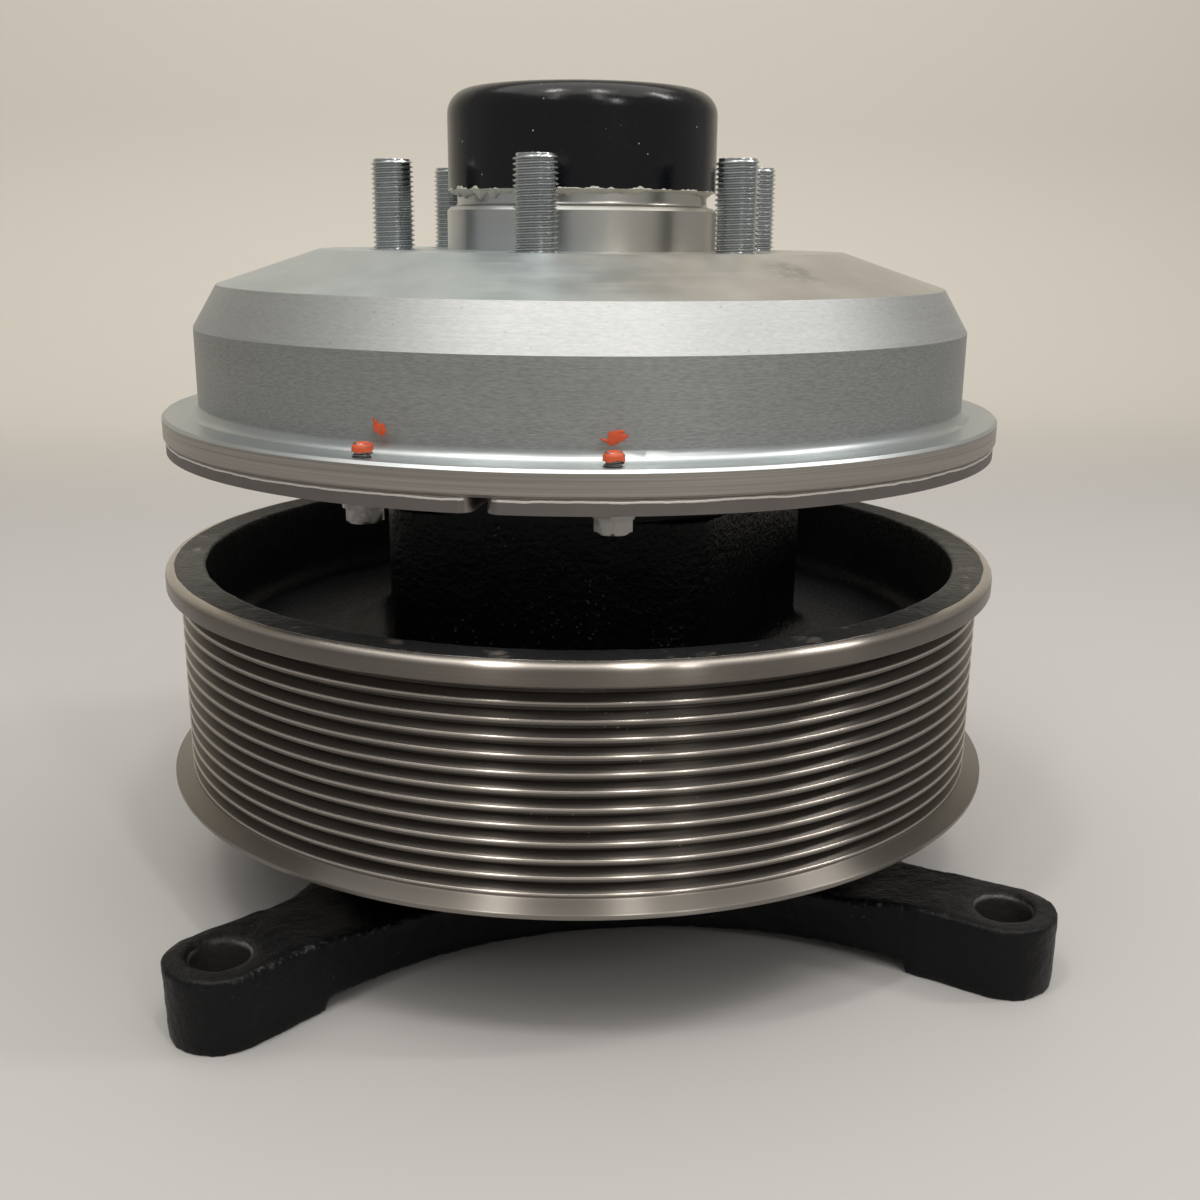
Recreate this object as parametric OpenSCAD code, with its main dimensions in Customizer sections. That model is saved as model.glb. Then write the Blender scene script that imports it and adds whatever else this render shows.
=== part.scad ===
// Fan clutch on its belt pulley and mounting bracket, standing on the bracket's four feet.
// Millimetres, +Z up along the shaft, origin on the axis at the level the feet stand on.
// Angles are counted from the front (-Y), positive towards +X.

/* [Mounting bracket] */
// Distance between neighbouring foot holes, both ways
foot_spacing = 164; // [150:1:190]
// Diameter of a foot hole
foot_hole_d = 12; // [8:0.5:14]
// Chamfer at a foot hole's upper edge
foot_hole_chamfer = 0.6; // [0.2:0.1:1]
// Radius of a foot's blunt end, about its hole
foot_r = 15.2; // [14:0.1:17]
// Height of a foot
foot_h = 16.5; // [15:0.5:22]
// Width of an arm
arm_w = 25; // [18:0.5:28]
// Height of an arm's top between the boss and the foot
arm_top = 14; // [10:0.5:14.5]
// Room under an arm
arm_lift = 2.5; // [1:0.5:5]
// Distance from the axis to where an arm's top starts to rise to the foot
dish_r = 86; // [80:1:92]
// Distance from the axis to the inner edge of a foot's underside
pad_reach = 100; // [96:1:104]
// Nearest distance of the outline between two arms from the axis
waist_r = 57; // [50:1:60]
// Radius of the boss that holds the spindle
boss_r = 33; // [30:0.5:38]
// Thickness of the rib on each arm
rib_t = 9; // [5:0.5:14]
// Distance from the axis to the outer end of a rib
rib_reach = 80; // [60:1:88]
// Height of a rib's upper end below the boss's top
rib_drop = 12; // [6:0.5:18]

/* [Spindle] */
// Diameter where the spindle is pressed into the boss
spindle_seat_d = 32; // [28:0.5:36]
// Diameter at the hub bearings
spindle_d = 35; // [30:1:38]
// Diameter of the shoulder under the lower bearing
shoulder_d = 44; // [40:0.5:46]
// Thread diameter at the lower end
foot_thread_d = 24; // [18:1:27]
// Width across the flats of the foot nut
foot_nut_af = 36; // [32:1:40]
// Height of the foot nut
foot_nut_h = 9; // [6:0.5:10]
// Thickness of the foot washer
foot_washer_t = 2.5; // [1.5:0.25:4]
// Thread diameter at the upper end
top_thread_d = 30; // [24:1:32]
// Outer diameter of the slotted bearing nut
bearing_nut_d = 44; // [40:1:48]
// Height of the slotted bearing nut
bearing_nut_h = 7; // [5:0.5:9]
// Thickness of the lock washer
lock_washer_t = 1.25; // [0.75:0.25:2]

/* [Bearings] */
// Outer diameter of a hub bearing
hub_bearing_od = 62; // [58:1:66]
// Width of a hub bearing
hub_bearing_w = 14; // [12:0.5:16]
// Balls in a hub bearing
hub_ball_n = 11; // [7:1:11]
// Bore of the clutch bearing
clutch_bearing_bore = 30; // [28:1:32]
// Outer diameter of the clutch bearing
clutch_bearing_od = 55; // [52:1:58]
// Width of the clutch bearing
clutch_bearing_w = 13; // [11:0.5:15]
// Balls in the clutch bearing
clutch_ball_n = 11; // [7:1:11]
// Play between a ball and its race
ball_play = 0.1; // [0.05:0.01:0.15]
// Thickness of a retaining ring
ring_t = 1.4; // [1:0.1:2]

/* [Belt pulley] */
// Height of the pulley's lower edge above the feet's tops
pulley_clear = 12.5; // [8:0.5:20]
// Number of V-grooves
groove_n = 12; // [6:1:14]
// Distance from groove to groove
groove_pitch = 3.56; // [3.4:0.02:4.8]
// Depth of a groove
groove_depth = 2.8; // [2:0.1:3]
// Angle between a groove's flanks
groove_angle = 40; // [36:1:42]
// Width of a groove's bottom
groove_root_w = 0.6; // [0.3:0.1:0.8]
// Diameter of the upper rim
upper_rim_d = 200.6; // [180:0.1:220]
// Height of the upper rim over the ridges
upper_rim_over = 3.15; // [2:0.05:6]
// Height of the lower rim over the ridges
lower_rim_over = 4.15; // [2:0.05:6]
// Height from the lower edge to the first ridge
lower_rim_h = 2.9; // [2:0.1:6]
// Height of the lower rim's straight edge
lower_lip_h = 1.1; // [0.8:0.1:1.6]
// Height of the upper rim above the last ridge
upper_rim_h = 5.4; // [4:0.1:9]
// Height of the cone under the upper rim
rim_cone_h = 0.9; // [0.5:0.1:1.5]
// Rounding of the upper rim's outer edge
rim_round = 1.8; // [0.8:0.1:2.4]
// Width of the upper rim's flat top
rim_top_w = 9.2; // [7:0.1:12]
// Depth of the cup
cup_depth = 21.5; // [16:0.5:26]
// Draft of the cup's cast wall over its depth
cup_draft = 0.8; // [0:0.1:1.5]
// Fillet at the foot of the cast walls
cast_fillet = 3.5; // [2:0.5:5]
// Thickness of the web
web_t = 10.5; // [8:0.5:13]
// Wall of the rim behind the grooves
rim_wall = 6; // [4:0.5:8]
// Distance from the axis to the hub column's corners
column_r = 56; // [52:0.5:62]
// Distance from the axis to the hub column's flats
column_flat = 47.5; // [44:0.5:50]
// Corners of the hub column
column_n = 5; // [4:1:6]
// Angle of the hub column's first corner
column_turn = 19; // [-36:1:36]
// Radius of the hub under the web
hub_r = 44; // [40:0.5:50]
// Depth of the hub under the web
hub_drop = 3.5; // [2:0.5:6]

/* [Drive shaft] */
// Distance from the hub column's top to the housing's flange
drive_drop = 13.8; // [12:0.1:16]
// Diameter of the shaft's flange
drive_flange_d = 106; // [100:1:110]
// Thickness of the shaft's flange
drive_flange_t = 7; // [6:0.5:8]
// Circle of the flange screws
drive_screw_circle_d = 88; // [84:0.5:90]
// Diameter of a flange screw
drive_screw_d = 8; // [6:0.5:8]
// Length of a flange screw
drive_screw_l = 20; // [16:1:24]
// Diameter of the rotor's seat
rotor_seat_d = 28; // [24:0.5:29]

/* [Clutch housing] */
// Height of the housing's flange above the pulley
head_lift = 29.8; // [26:0.2:36]
// Angle of the housing's first stud
head_turn = -19.2; // [-30:0.1:30]
// Diameter of the flange
flange_d = 197; // [176:0.5:216]
// Thickness of the flange
flange_t = 5.4; // [4.5:0.1:7]
// Width of the flange outside the straight wall
flange_w = 8.1; // [7.5:0.1:10]
// Height of the straight wall
wall_h = 19.1; // [16:0.1:24]
// Fillet between the flange and the wall
wall_fillet = 2.2; // [1:0.1:3]
// Width of the bevel
bevel_w = 5.5; // [3:0.1:9]
// Height of the bevel
bevel_h = 9.3; // [7:0.1:12]
// Diameter of the flat top
top_d = 123.4; // [116:0.2:130]
// Height of the cone under the flat top
cone_h = 7.8; // [5:0.1:10]
// Diameter of the fan pilot
pilot_d = 63.5; // [62.9:0.1:70]
// Height of the fan pilot
pilot_h = 9.6; // [7:0.1:13]
// Chamfer at the pilot's upper edge
pilot_chamfer = 0.8; // [0.4:0.1:1.2]
// Thickness of the housing's side wall
housing_wall = 5.4; // [4.5:0.1:7]
// Thickness of the housing's roof
roof_t = 12.4; // [11.5:0.1:14]
// Number of fan studs
stud_n = 6; // [4:1:8]
// Circle of the fan studs
stud_circle_d = 90; // [86:0.5:96]
// Diameter of a fan stud
stud_d = 9.525; // [8:0.025:10]
// Height of a fan stud above the top
stud_h = 19.6; // [15:0.1:30]
// Depth of a fan stud in the roof
stud_in = 10; // [7:0.5:10.5]
// Diameter of a fan stud's tap end in the roof
stud_tap_d = 8.4; // [6:0.1:9]
// Width of the spot face round a fan stud
spot_w = 1.3; // [1.2:0.1:2.5]
// Depth of the spot face
spot_h = 0.6; // [0.4:0.1:1.5]

/* [Rear cover and clamp plates] */
// Thickness of the cover's rim
cover_rim_t = 4; // [3:0.1:4.4]
// Width of the cover's rim on its seat
cover_rim_w = 3; // [2:0.1:3.5]
// Thickness of the cover's floor
cover_t = 8; // [6:0.5:9]
// Wall of the cover's hub round the bearing
cover_hub_wall = 5.5; // [4:0.5:7]
// Thickness of the lip under the clutch bearing
cover_lip_t = 1.5; // [1:0.1:2]
// Height of the cover's spigot in the housing
spigot_h = 6; // [5:0.25:7]
// Thickness of a clamp plate
plate_t = 3; // [2:0.1:4]
// Width of the flange's edge outside the clamp plates
plate_inset = 0.5; // [0:0.1:1.5]
// Width of a clamp plate
plate_w = 19; // [16:0.5:21]
// Gap between two clamp plates
plate_gap = 2.6; // [1.5:0.1:5]
// Rounding of a clamp plate's outer corners
plate_corner = 3; // [1:0.1:4]
// Angle from the first stud to the first gap between plates
plate_turn = 1.3; // [-5:0.1:5]
// Angle from a plate's end to its bolt
plate_bolt_turn = 14.5; // [8:0.5:20]
// Distance from the flange's edge to the clamp bolts
clamp_inset = 4.5; // [4.2:0.1:5]
// Diameter of a clamp bolt
clamp_bolt_d = 4; // [3:0.5:5]
// Width across the flats of a clamp bolt's head
clamp_head_af = 7; // [5.5:0.5:8]
// Height of a clamp bolt's head
clamp_head_h = 2.8; // [2:0.1:3.5]
// Thickness of the washer under a clamp bolt's head
clamp_washer_t = 0.9; // [0.6:0.1:1.2]
// Length of a clamp bolt past the flange
clamp_tip = 2.6; // [1:0.1:4]

/* [Rotor and reservoir] */
// Thickness of the rotor's disc
rotor_t = 4; // [3:0.25:5]
// Room outside the rotor's last land
land_margin = 6; // [5:0.5:9]
// Thickness of a land
land_t = 1.8; // [1.2:0.1:2]
// Gap between two lands
land_gap = 0.45; // [0.35:0.05:0.6]
// Height of a land
land_h = 5.8; // [4:0.2:6.4]
// Distance from the axis to the rotor's first land
land_r0 = 44; // [42:0.5:45]
// Thickness of the reservoir plate
reservoir_t = 2.5; // [2:0.25:3]
// Number of reservoir screws
reservoir_screw_n = 4; // [3:1:6]
// Diameter of a reservoir screw
reservoir_screw_d = 4; // [3:0.5:4]
// Length of a reservoir screw
reservoir_screw_l = 8; // [6:0.5:9]
// Width of the ledge that the reservoir plate seats on
ledge_w = 8; // [7:0.5:10]
// Distance from the axis to the fill port
port_circle_r = 46; // [40:0.5:54]
// Diameter of the fill port
port_d = 8; // [5:0.5:10]

/* [Valve and coil] */
// Diameter of the valve shaft
valve_shaft_d = 6; // [5:0.25:7]
// Thickness of the valve arm
valve_arm_t = 2; // [1.5:0.1:2.5]
// Width of the valve arm
valve_arm_w = 10; // [7:0.5:12]
// Angle of the valve arm and its port
valve_turn = 60; // [0:5:90]
// Turns of the bimetal coil
coil_turns = 4; // [3:1:5]
// Thickness of the bimetal strip
coil_t = 1.2; // [0.8:0.1:1.4]
// Width of the bimetal strip
coil_w = 9; // [6:0.5:10]
// Radius of the coil's inner turn
coil_r0 = 5.5; // [5:0.25:6.5]
// Distance from turn to turn
coil_pitch = 3.4; // [2.8:0.1:3.6]
// Diameter of the anchor pin
anchor_d = 3.2; // [2.5:0.1:4]

/* [End cap] */
// Diameter of the end cap
cap_d = 62.8; // [60:0.1:62.8]
// Height of the end cap
cap_h = 22.4; // [20:0.2:30]
// Wall of the end cap
cap_wall = 2; // [1.5:0.1:2.5]
// Rounding of the end cap's upper edge
cap_round = 5.5; // [3:0.25:7]
// Height of the neck between the pilot and the end cap
neck_h = 3.6; // [3:0.1:5]
// Fillet at the foot of the neck
neck_fillet = 1.1; // [0.5:0.1:1.2]
// Height of the sealant bead under the end cap
bead_h = 2; // [1:0.1:2.4]

/* [Hidden] */
$fn = 96;
// Clearances: pressed or seated fits, running fits, threads, located rims
press_gap = 0.02;
run_gap = 0.06;
thread_gap = 0.05;
rim_gap = 0.1;
// Small room left so that a piece doesn't bottom on its neighbour
room = 0.5;
edge = 0.6;
thread_chamfer = 1;
big = 400;

// Bracket
foot_reach = foot_spacing / sqrt(2);
// The notches between the arms cut a little into the arms' lines, so that no edges only touch
notch_bite = 0.3;
notch_r = (waist_r / sqrt(2) - arm_w / 2 + notch_bite) / (1 - 1 / sqrt(2));
notch_c = waist_r + notch_r;
arm_tangent = notch_c / sqrt(2);
foot_rise_run = 3;
foot_rise_r = foot_reach - foot_r + foot_rise_run;

// Belt pulley
pulley_z = foot_h + pulley_clear;
ridge_r = upper_rim_d / 2 - upper_rim_over;
root_r = ridge_r - groove_depth;
lower_rim_r = ridge_r + lower_rim_over;
cup_r = upper_rim_d / 2 - rim_top_w;
ridge_w = groove_pitch - groove_root_w - 2 * groove_depth * tan(groove_angle / 2);
groove_top = lower_rim_h + groove_n * groove_pitch;
pulley_h = groove_top + upper_rim_h;
pulley_top = pulley_z + pulley_h;
cup_floor = pulley_h - cup_depth;
web_z = cup_floor - web_t;
hub_z = pulley_z + web_z - hub_drop;
rim_in_r = root_r - rim_wall;

// Hub bearings on the spindle
flange_z = pulley_top + head_lift;
column_top = flange_z - drive_drop;
lower_bearing_z = pulley_z + web_z + hub_drop - edge;
nut_room = 0.75;
upper_bearing_z = column_top - nut_room - bearing_nut_h - lock_washer_t - hub_bearing_w;
upper_bearing_top = upper_bearing_z + hub_bearing_w;
ring_depth = 1.8;
ring_hold = 2.5;
hub_bore_r = hub_bearing_od / 2 + press_gap;
hub_shoulder_r = hub_bearing_od / 2 - ring_hold;
hub_ring_gap = 8;
clutch_ring_gap = 6;
rotor_ring_gap = 5;
cover_lip_w = 3;
shaft_ring_depth = 1.2;
shaft_ring_hold = 3;

// Spindle
boss_gap = 1.5;
boss_top = hub_z - boss_gap;
socket_room = 1.5;
foot_recess_r = foot_nut_af / 2 / cos(30) + socket_room;
spindle_z = arm_lift + room;
foot_nut_z = spindle_z + room;
foot_washer_z = foot_nut_z + foot_nut_h;
foot_recess_top = foot_washer_z + foot_washer_t;
spindle_top = column_top - nut_room + room;

// Drive shaft and clutch bearing
nut_swing = 3;
nut_headroom = 2;
shaft_recess_r = bearing_nut_d / 2 + nut_swing;
shaft_recess_top = column_top + nut_headroom;
shaft_spigot_h = 3;
drive_flange_top = column_top + drive_flange_t;
cover_gap = 2;
cover_z = drive_flange_top + cover_gap;
clutch_bearing_z = cover_z + cover_lip_t;
clutch_bearing_top = clutch_bearing_z + clutch_bearing_w;
ring_land = 1;
cover_hub_top = clutch_bearing_top + ring_t + ring_land;
cover_hub_r = clutch_bearing_od / 2 + cover_hub_wall;

// Rotor, cover floor and reservoir
rotor_lift = 1.2;
rotor_z = cover_hub_top + rotor_lift;
rotor_top = rotor_z + rotor_t;
rotor_ring_z = rotor_top;
shaft_headroom = 1;
shaft_top = rotor_ring_z + ring_t + ring_land;
reservoir_z = shaft_top + shaft_headroom;
reservoir_top = reservoir_z + reservoir_t;
land_pitch = 2 * (land_t + land_gap);
land_end_gap = 0.7;
cover_floor_top = rotor_z - land_h - land_end_gap;
cover_floor_z = cover_floor_top - cover_t;
flange_r = flange_d / 2;
wall_r = flange_r - flange_w;
bevel_r = wall_r - bevel_w;
plate_r = flange_r - plate_inset;
clamp_circle_r = flange_r - clamp_inset;
housing_r = wall_r - housing_wall;
seat_r = housing_r + cover_rim_w;
spigot_r = housing_r - rim_gap;
rotor_gap = 1.5;
rotor_r = housing_r - rotor_gap;
land_n = floor((rotor_r - land_margin - land_r0) / land_pitch) + 1;
plate_in_r = plate_r - plate_w;

// Housing
flange_top = flange_z + flange_t;
wall_top = flange_top + wall_h;
bevel_top = wall_top + bevel_h;
head_top = bevel_top + cone_h;
pilot_top = head_top + pilot_h;
roof_z = head_top - roof_t;
ledge_r = housing_r - ledge_w;
neck_r = cap_d / 2 - cap_wall - press_gap;
neck_wall = 4;
well_r = neck_r - neck_wall;
well_lift = 1;
well_z = head_top + well_lift;
cap_z = pilot_top + neck_h;
cap_top = cap_z + cap_h;
neck_top = cap_z + cap_h / 2;
stud_r = stud_d / 2;
stud_tap_r = stud_tap_d / 2;
plate_n = 3;
clamp_r = clamp_bolt_d / 2;
reservoir_screw_r = housing_r - ledge_w / 2;

// Valve and coil
valve_r = valve_shaft_d / 2;
valve_arm_z = reservoir_top + room;
valve_arm_top = valve_arm_z + valve_arm_t;
valve_seal_r = 0.9;
valve_seal_z = (roof_z + well_z) / 2;
valve_groove_r = valve_r + run_gap + 2 * valve_seal_r;
coil_lift = 6;
coil_z = well_z + coil_lift;
coil_top = coil_z + coil_w;
coil_end_r = coil_r0 + coil_pitch * coil_turns;
anchor_r = coil_end_r + coil_t / 2 + anchor_d / 2 + rim_gap;
anchor_in = 5;

// Sealing ring of the rear cover
seal_r = 1.05;
seal_z = flange_z + cover_rim_t + spigot_h / 2;
seal_groove_r = spigot_r - 2 * seal_r;

// Shapes that repeat

// Turns its children to an angle counted from the front
module turn(angle) {
    rotate([0, 0, angle]) children();
}

// Copies its children round the axis, n times, the first one at an angle from the front
module ring_of(n, first = 0) {
    for (i = [0 : n - 1]) turn(first + 360 * i / n) children();
}

// Turned tube between two radii
module tube(r_in, r_out, z, h) {
    translate([0, 0, z]) difference() {
        cylinder(r = r_out, h = h);
        translate([0, 0, -1]) cylinder(r = r_in, h = h + 2);
    }
}

// Upright cylinder at a distance in front of the axis
module peg(r, reach, z, h) {
    translate([0, -reach, z]) cylinder(r = r, h = h);
}

// Corner fillet in a profile: fills the corner at (x, y) towards the signs sx and sy
module cove(x, y, sx, sy, r) {
    translate([x, y]) scale([sx, sy]) difference() {
        translate([-1, -1]) square(r + 1);
        translate([r, r]) circle(r);
    }
}

// Cutter that rounds a profile's outer corner at (x, y), which lies towards the signs sx and sy
module round_off(x, y, sx, sy, r) {
    translate([x, y]) scale([sx, sy]) difference() {
        translate([-r, -r]) square(r + 1);
        translate([-r, -r]) circle(r);
    }
}

// Hexagon head or nut standing on z
module hexagon(af, z, h) {
    translate([0, 0, z]) cylinder(r = af / 2 / cos(30), h = h, $fn = 6);
}

// Open retaining ring: the gap lies at the back
module snap_ring(r_in, r_out, z, gap_w) {
    difference() {
        tube(r_in, r_out, z, ring_t);
        translate([-gap_w / 2, 0, z - 1]) cube([gap_w, r_out + 1, ring_t + 2]);
    }
}

// Ball bearings, from bore and outside diameter
function ball_r(bore, od) = 0.15 * (od - bore);
function ball_circle_r(bore, od) = (bore + od) / 4;

module inner_race(bore, od, w, z) {
    translate([0, 0, z]) rotate_extrude() difference() {
        translate([bore / 2 + press_gap, 0])
            square([ball_circle_r(bore, od) - ball_r(bore, od) / 2 - bore / 2 - press_gap, w]);
        translate([ball_circle_r(bore, od), w / 2]) circle(ball_r(bore, od) + ball_play);
    }
}

module outer_race(bore, od, w, z) {
    translate([0, 0, z]) rotate_extrude() difference() {
        translate([ball_circle_r(bore, od) + ball_r(bore, od) / 2, 0])
            square([od / 2 - ball_circle_r(bore, od) - ball_r(bore, od) / 2, w]);
        translate([ball_circle_r(bore, od), w / 2]) circle(ball_r(bore, od) + ball_play);
    }
}

module balls(n, bore, od, w, z) {
    ring_of(n) translate([0, -ball_circle_r(bore, od), z + w / 2]) sphere(ball_r(bore, od));
}

module cage(n, bore, od, w, z) {
    bar = 0.35 * ball_r(bore, od);
    rise = ball_r(bore, od) + ball_play + 1;
    difference() {
        tube(ball_circle_r(bore, od) - bar, ball_circle_r(bore, od) + bar, z + w / 2 - rise, 2 * rise);
        ring_of(n) translate([0, 2 * bar - ball_circle_r(bore, od), z + w / 2]) rotate([90, 0, 0])
            cylinder(r = ball_r(bore, od) + ball_play, h = 4 * bar);
    }
}

// Mounting bracket

// Point beside an arm's centre line, where the notches leave the arm
function arm_point(i, offset) =
    let (a = 45 + 90 * i)
    [arm_tangent * cos(a) - offset * sin(a), arm_tangent * sin(a) + offset * cos(a)];

module arm_plan() {
    start = boss_r / 2;
    difference() {
        translate([start, -arm_w / 2]) square([foot_reach + foot_r - start, arm_w]);
        difference() {
            translate([foot_reach, -arm_w]) square([foot_r + 1, 2 * arm_w]);
            translate([foot_reach, 0]) circle(foot_r);
        }
    }
}

module bracket_plan() {
    inset = 2;
    difference() {
        polygon([for (i = [0 : 3], side = [-1, 1]) arm_point(i, side * (arm_w / 2 - inset))]);
        for (i = [0 : 3]) rotate(90 * i) translate([notch_c, 0]) circle(notch_r);
    }
    for (i = [0 : 3]) rotate(45 + 90 * i) arm_plan();
}

// What is cut away above the arms, round the boss
module bracket_top_cut() {
    rotate_extrude() difference() {
        polygon([
            [boss_r, arm_top],
            [dish_r, arm_top],
            [foot_rise_r, foot_h],
            [big, foot_h],
            [big, boss_top + 1],
            [boss_r, boss_top + 1]
        ]);
        cove(boss_r, arm_top, 1, 1, cast_fillet);
    }
}

module arm_rib() {
    root = 2;
    slope = (boss_top - rib_drop - arm_top) / (rib_reach - boss_r);
    rotate([0, 0, 45]) translate([0, rib_t / 2, 0]) rotate([90, 0, 0]) linear_extrude(rib_t)
        polygon([
            [boss_r - root, arm_top - root],
            [rib_reach + root / slope, arm_top - root],
            [boss_r - root, boss_top - rib_drop + root * slope]
        ]);
}

module mounting_bracket() {
    color([0.06, 0.06, 0.065]) difference() {
        union() {
            difference() {
                linear_extrude(boss_top) bracket_plan();
                bracket_top_cut();
                translate([0, 0, -1]) cylinder(r = pad_reach, h = arm_lift + 1);
            }
            for (i = [0 : 3]) rotate([0, 0, 90 * i]) arm_rib();
        }
        for (i = [0 : 3]) rotate([0, 0, 90 * i]) translate([foot_spacing / 2, foot_spacing / 2, 0]) {
            translate([0, 0, -1]) cylinder(d = foot_hole_d, h = foot_h + 2);
            translate([0, 0, foot_h - foot_hole_chamfer]) cylinder(
                r1 = foot_hole_d / 2,
                r2 = foot_hole_d / 2 + foot_hole_chamfer + 1,
                h = foot_hole_chamfer + 1
            );
        }
        cylinder(d = spindle_seat_d + 2 * press_gap, h = boss_top + 1);
        translate([0, 0, -1]) cylinder(r = foot_recess_r, h = foot_recess_top + 1);
    }
}

// Spindle and what it carries

module spindle() {
    color([0.55, 0.55, 0.56]) rotate_extrude() polygon([
        [0, spindle_z],
        [foot_thread_d / 2 - thread_chamfer, spindle_z],
        [foot_thread_d / 2, spindle_z + thread_chamfer],
        [foot_thread_d / 2, foot_recess_top],
        [spindle_seat_d / 2, foot_recess_top],
        [spindle_seat_d / 2, boss_top],
        [shoulder_d / 2, boss_top],
        [shoulder_d / 2, lower_bearing_z],
        [spindle_d / 2, lower_bearing_z],
        [spindle_d / 2, upper_bearing_top - edge],
        [top_thread_d / 2, upper_bearing_top - edge],
        [top_thread_d / 2, spindle_top - thread_chamfer],
        [top_thread_d / 2 - thread_chamfer, spindle_top],
        [0, spindle_top]
    ]);
}

module foot_washer() {
    color([0.6, 0.6, 0.62])
        tube(foot_thread_d / 2 + rim_gap, foot_recess_r - room, foot_washer_z, foot_washer_t);
}

module foot_nut() {
    color([0.6, 0.6, 0.62]) difference() {
        hexagon(foot_nut_af, foot_nut_z, foot_nut_h);
        cylinder(r = foot_thread_d / 2 + thread_gap, h = foot_washer_z + 1);
    }
}

module lower_inner_race() {
    color([0.7, 0.7, 0.72]) inner_race(spindle_d, hub_bearing_od, hub_bearing_w, lower_bearing_z);
}

module upper_inner_race() {
    color([0.7, 0.7, 0.72]) inner_race(spindle_d, hub_bearing_od, hub_bearing_w, upper_bearing_z);
}

module inner_race_spacer() {
    color([0.5, 0.5, 0.52]) tube(
        spindle_d / 2 + press_gap,
        ball_circle_r(spindle_d, hub_bearing_od) - ball_r(spindle_d, hub_bearing_od) / 2,
        lower_bearing_z + hub_bearing_w,
        upper_bearing_z - lower_bearing_z - hub_bearing_w
    );
}

module lock_washer() {
    color([0.6, 0.6, 0.62])
        tube(top_thread_d / 2 + rim_gap, bearing_nut_d / 2, upper_bearing_top, lock_washer_t);
}

module bearing_nut() {
    slot_w = 6;
    slot_depth = 2.5;
    nut_z = upper_bearing_top + lock_washer_t;
    color([0.5, 0.5, 0.52]) difference() {
        tube(top_thread_d / 2 + thread_gap, bearing_nut_d / 2, nut_z, bearing_nut_h);
        ring_of(4) translate([-slot_w / 2, -bearing_nut_d / 2 - 1, nut_z - 1])
            cube([slot_w, slot_depth + 1, bearing_nut_h + 2]);
    }
}

// Belt pulley

// One groove's corners, from its lower edge to its upper edge
function groove_points(k) =
    let (z = lower_rim_h + (k + 0.5) * groove_pitch)
    let (mouth = (groove_pitch - ridge_w) / 2)
    [
        [ridge_r, z - mouth],
        [root_r, z - groove_root_w / 2],
        [root_r, z + groove_root_w / 2],
        [ridge_r, z + mouth]
    ];

module pulley_profile() {
    cup_foot_r = cup_r - cup_draft;
    difference() {
        union() {
            polygon(concat(
                [
                    [0, web_z - hub_drop],
                    [hub_r, web_z - hub_drop],
                    [hub_r, web_z],
                    [rim_in_r, web_z],
                    [rim_in_r, 0],
                    [lower_rim_r - edge / 2, 0],
                    [lower_rim_r, edge / 2],
                    [lower_rim_r, lower_lip_h],
                    [ridge_r, lower_rim_h - ridge_w / 2]
                ],
                [for (k = [0 : groove_n - 1]) each groove_points(k)],
                [
                    [upper_rim_d / 2, groove_top + rim_cone_h],
                    [upper_rim_d / 2, pulley_h],
                    [cup_r + edge, pulley_h],
                    [cup_r, pulley_h - edge],
                    [cup_foot_r, cup_floor],
                    [0, cup_floor]
                ]
            ));
            cove(cup_foot_r, cup_floor, -1, 1, cast_fillet);
            cove(rim_in_r, web_z, -1, -1, cast_fillet);
            cove(hub_r, web_z, 1, -1, hub_drop);
        }
        round_off(upper_rim_d / 2, pulley_h, 1, 1, rim_round);
    }
}

module hub_column() {
    turn(column_turn - 90) translate([0, 0, pulley_z + web_z]) intersection() {
        cylinder(r = column_flat / cos(180 / column_n), h = column_top - pulley_z - web_z, $fn = column_n);
        cylinder(r = column_r, h = column_top - pulley_z - web_z);
    }
}

module belt_pulley() {
    ring_groove_r = hub_bore_r + ring_depth;
    color([0.45, 0.43, 0.41]) difference() {
        union() {
            translate([0, 0, pulley_z]) rotate_extrude() pulley_profile();
            hub_column();
        }
        translate([0, 0, lower_bearing_z]) cylinder(r = hub_bore_r, h = column_top);
        translate([0, 0, hub_z - 1]) cylinder(r = hub_shoulder_r + press_gap, h = column_top);
        translate([0, 0, upper_bearing_top]) cylinder(r = ring_groove_r, h = ring_t);
        ring_of(column_n, column_turn)
            peg(drive_screw_d / 2 + thread_gap, drive_screw_circle_d / 2,
                drive_flange_top - drive_screw_l - 2, drive_screw_l + 2);
    }
}

module hub_seal() {
    color([0.04, 0.04, 0.04]) tube(
        shoulder_d / 2 + run_gap,
        hub_shoulder_r,
        hub_z + room,
        lower_bearing_z - hub_z - 2 * room
    );
}

module lower_outer_race() {
    color([0.7, 0.7, 0.72]) outer_race(spindle_d, hub_bearing_od, hub_bearing_w, lower_bearing_z);
}

module upper_outer_race() {
    color([0.7, 0.7, 0.72]) outer_race(spindle_d, hub_bearing_od, hub_bearing_w, upper_bearing_z);
}

module outer_race_spacer() {
    color([0.5, 0.5, 0.52]) tube(
        ball_circle_r(spindle_d, hub_bearing_od) + ball_r(spindle_d, hub_bearing_od) / 2,
        hub_bearing_od / 2,
        lower_bearing_z + hub_bearing_w,
        upper_bearing_z - lower_bearing_z - hub_bearing_w
    );
}

module hub_retaining_ring() {
    color([0.3, 0.3, 0.32])
        snap_ring(hub_shoulder_r, hub_bore_r + ring_depth - press_gap, upper_bearing_top, hub_ring_gap);
}

module lower_balls() {
    color([0.8, 0.8, 0.82]) balls(hub_ball_n, spindle_d, hub_bearing_od, hub_bearing_w, lower_bearing_z);
}

module lower_cage() {
    color([0.72, 0.6, 0.35]) cage(hub_ball_n, spindle_d, hub_bearing_od, hub_bearing_w, lower_bearing_z);
}

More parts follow.
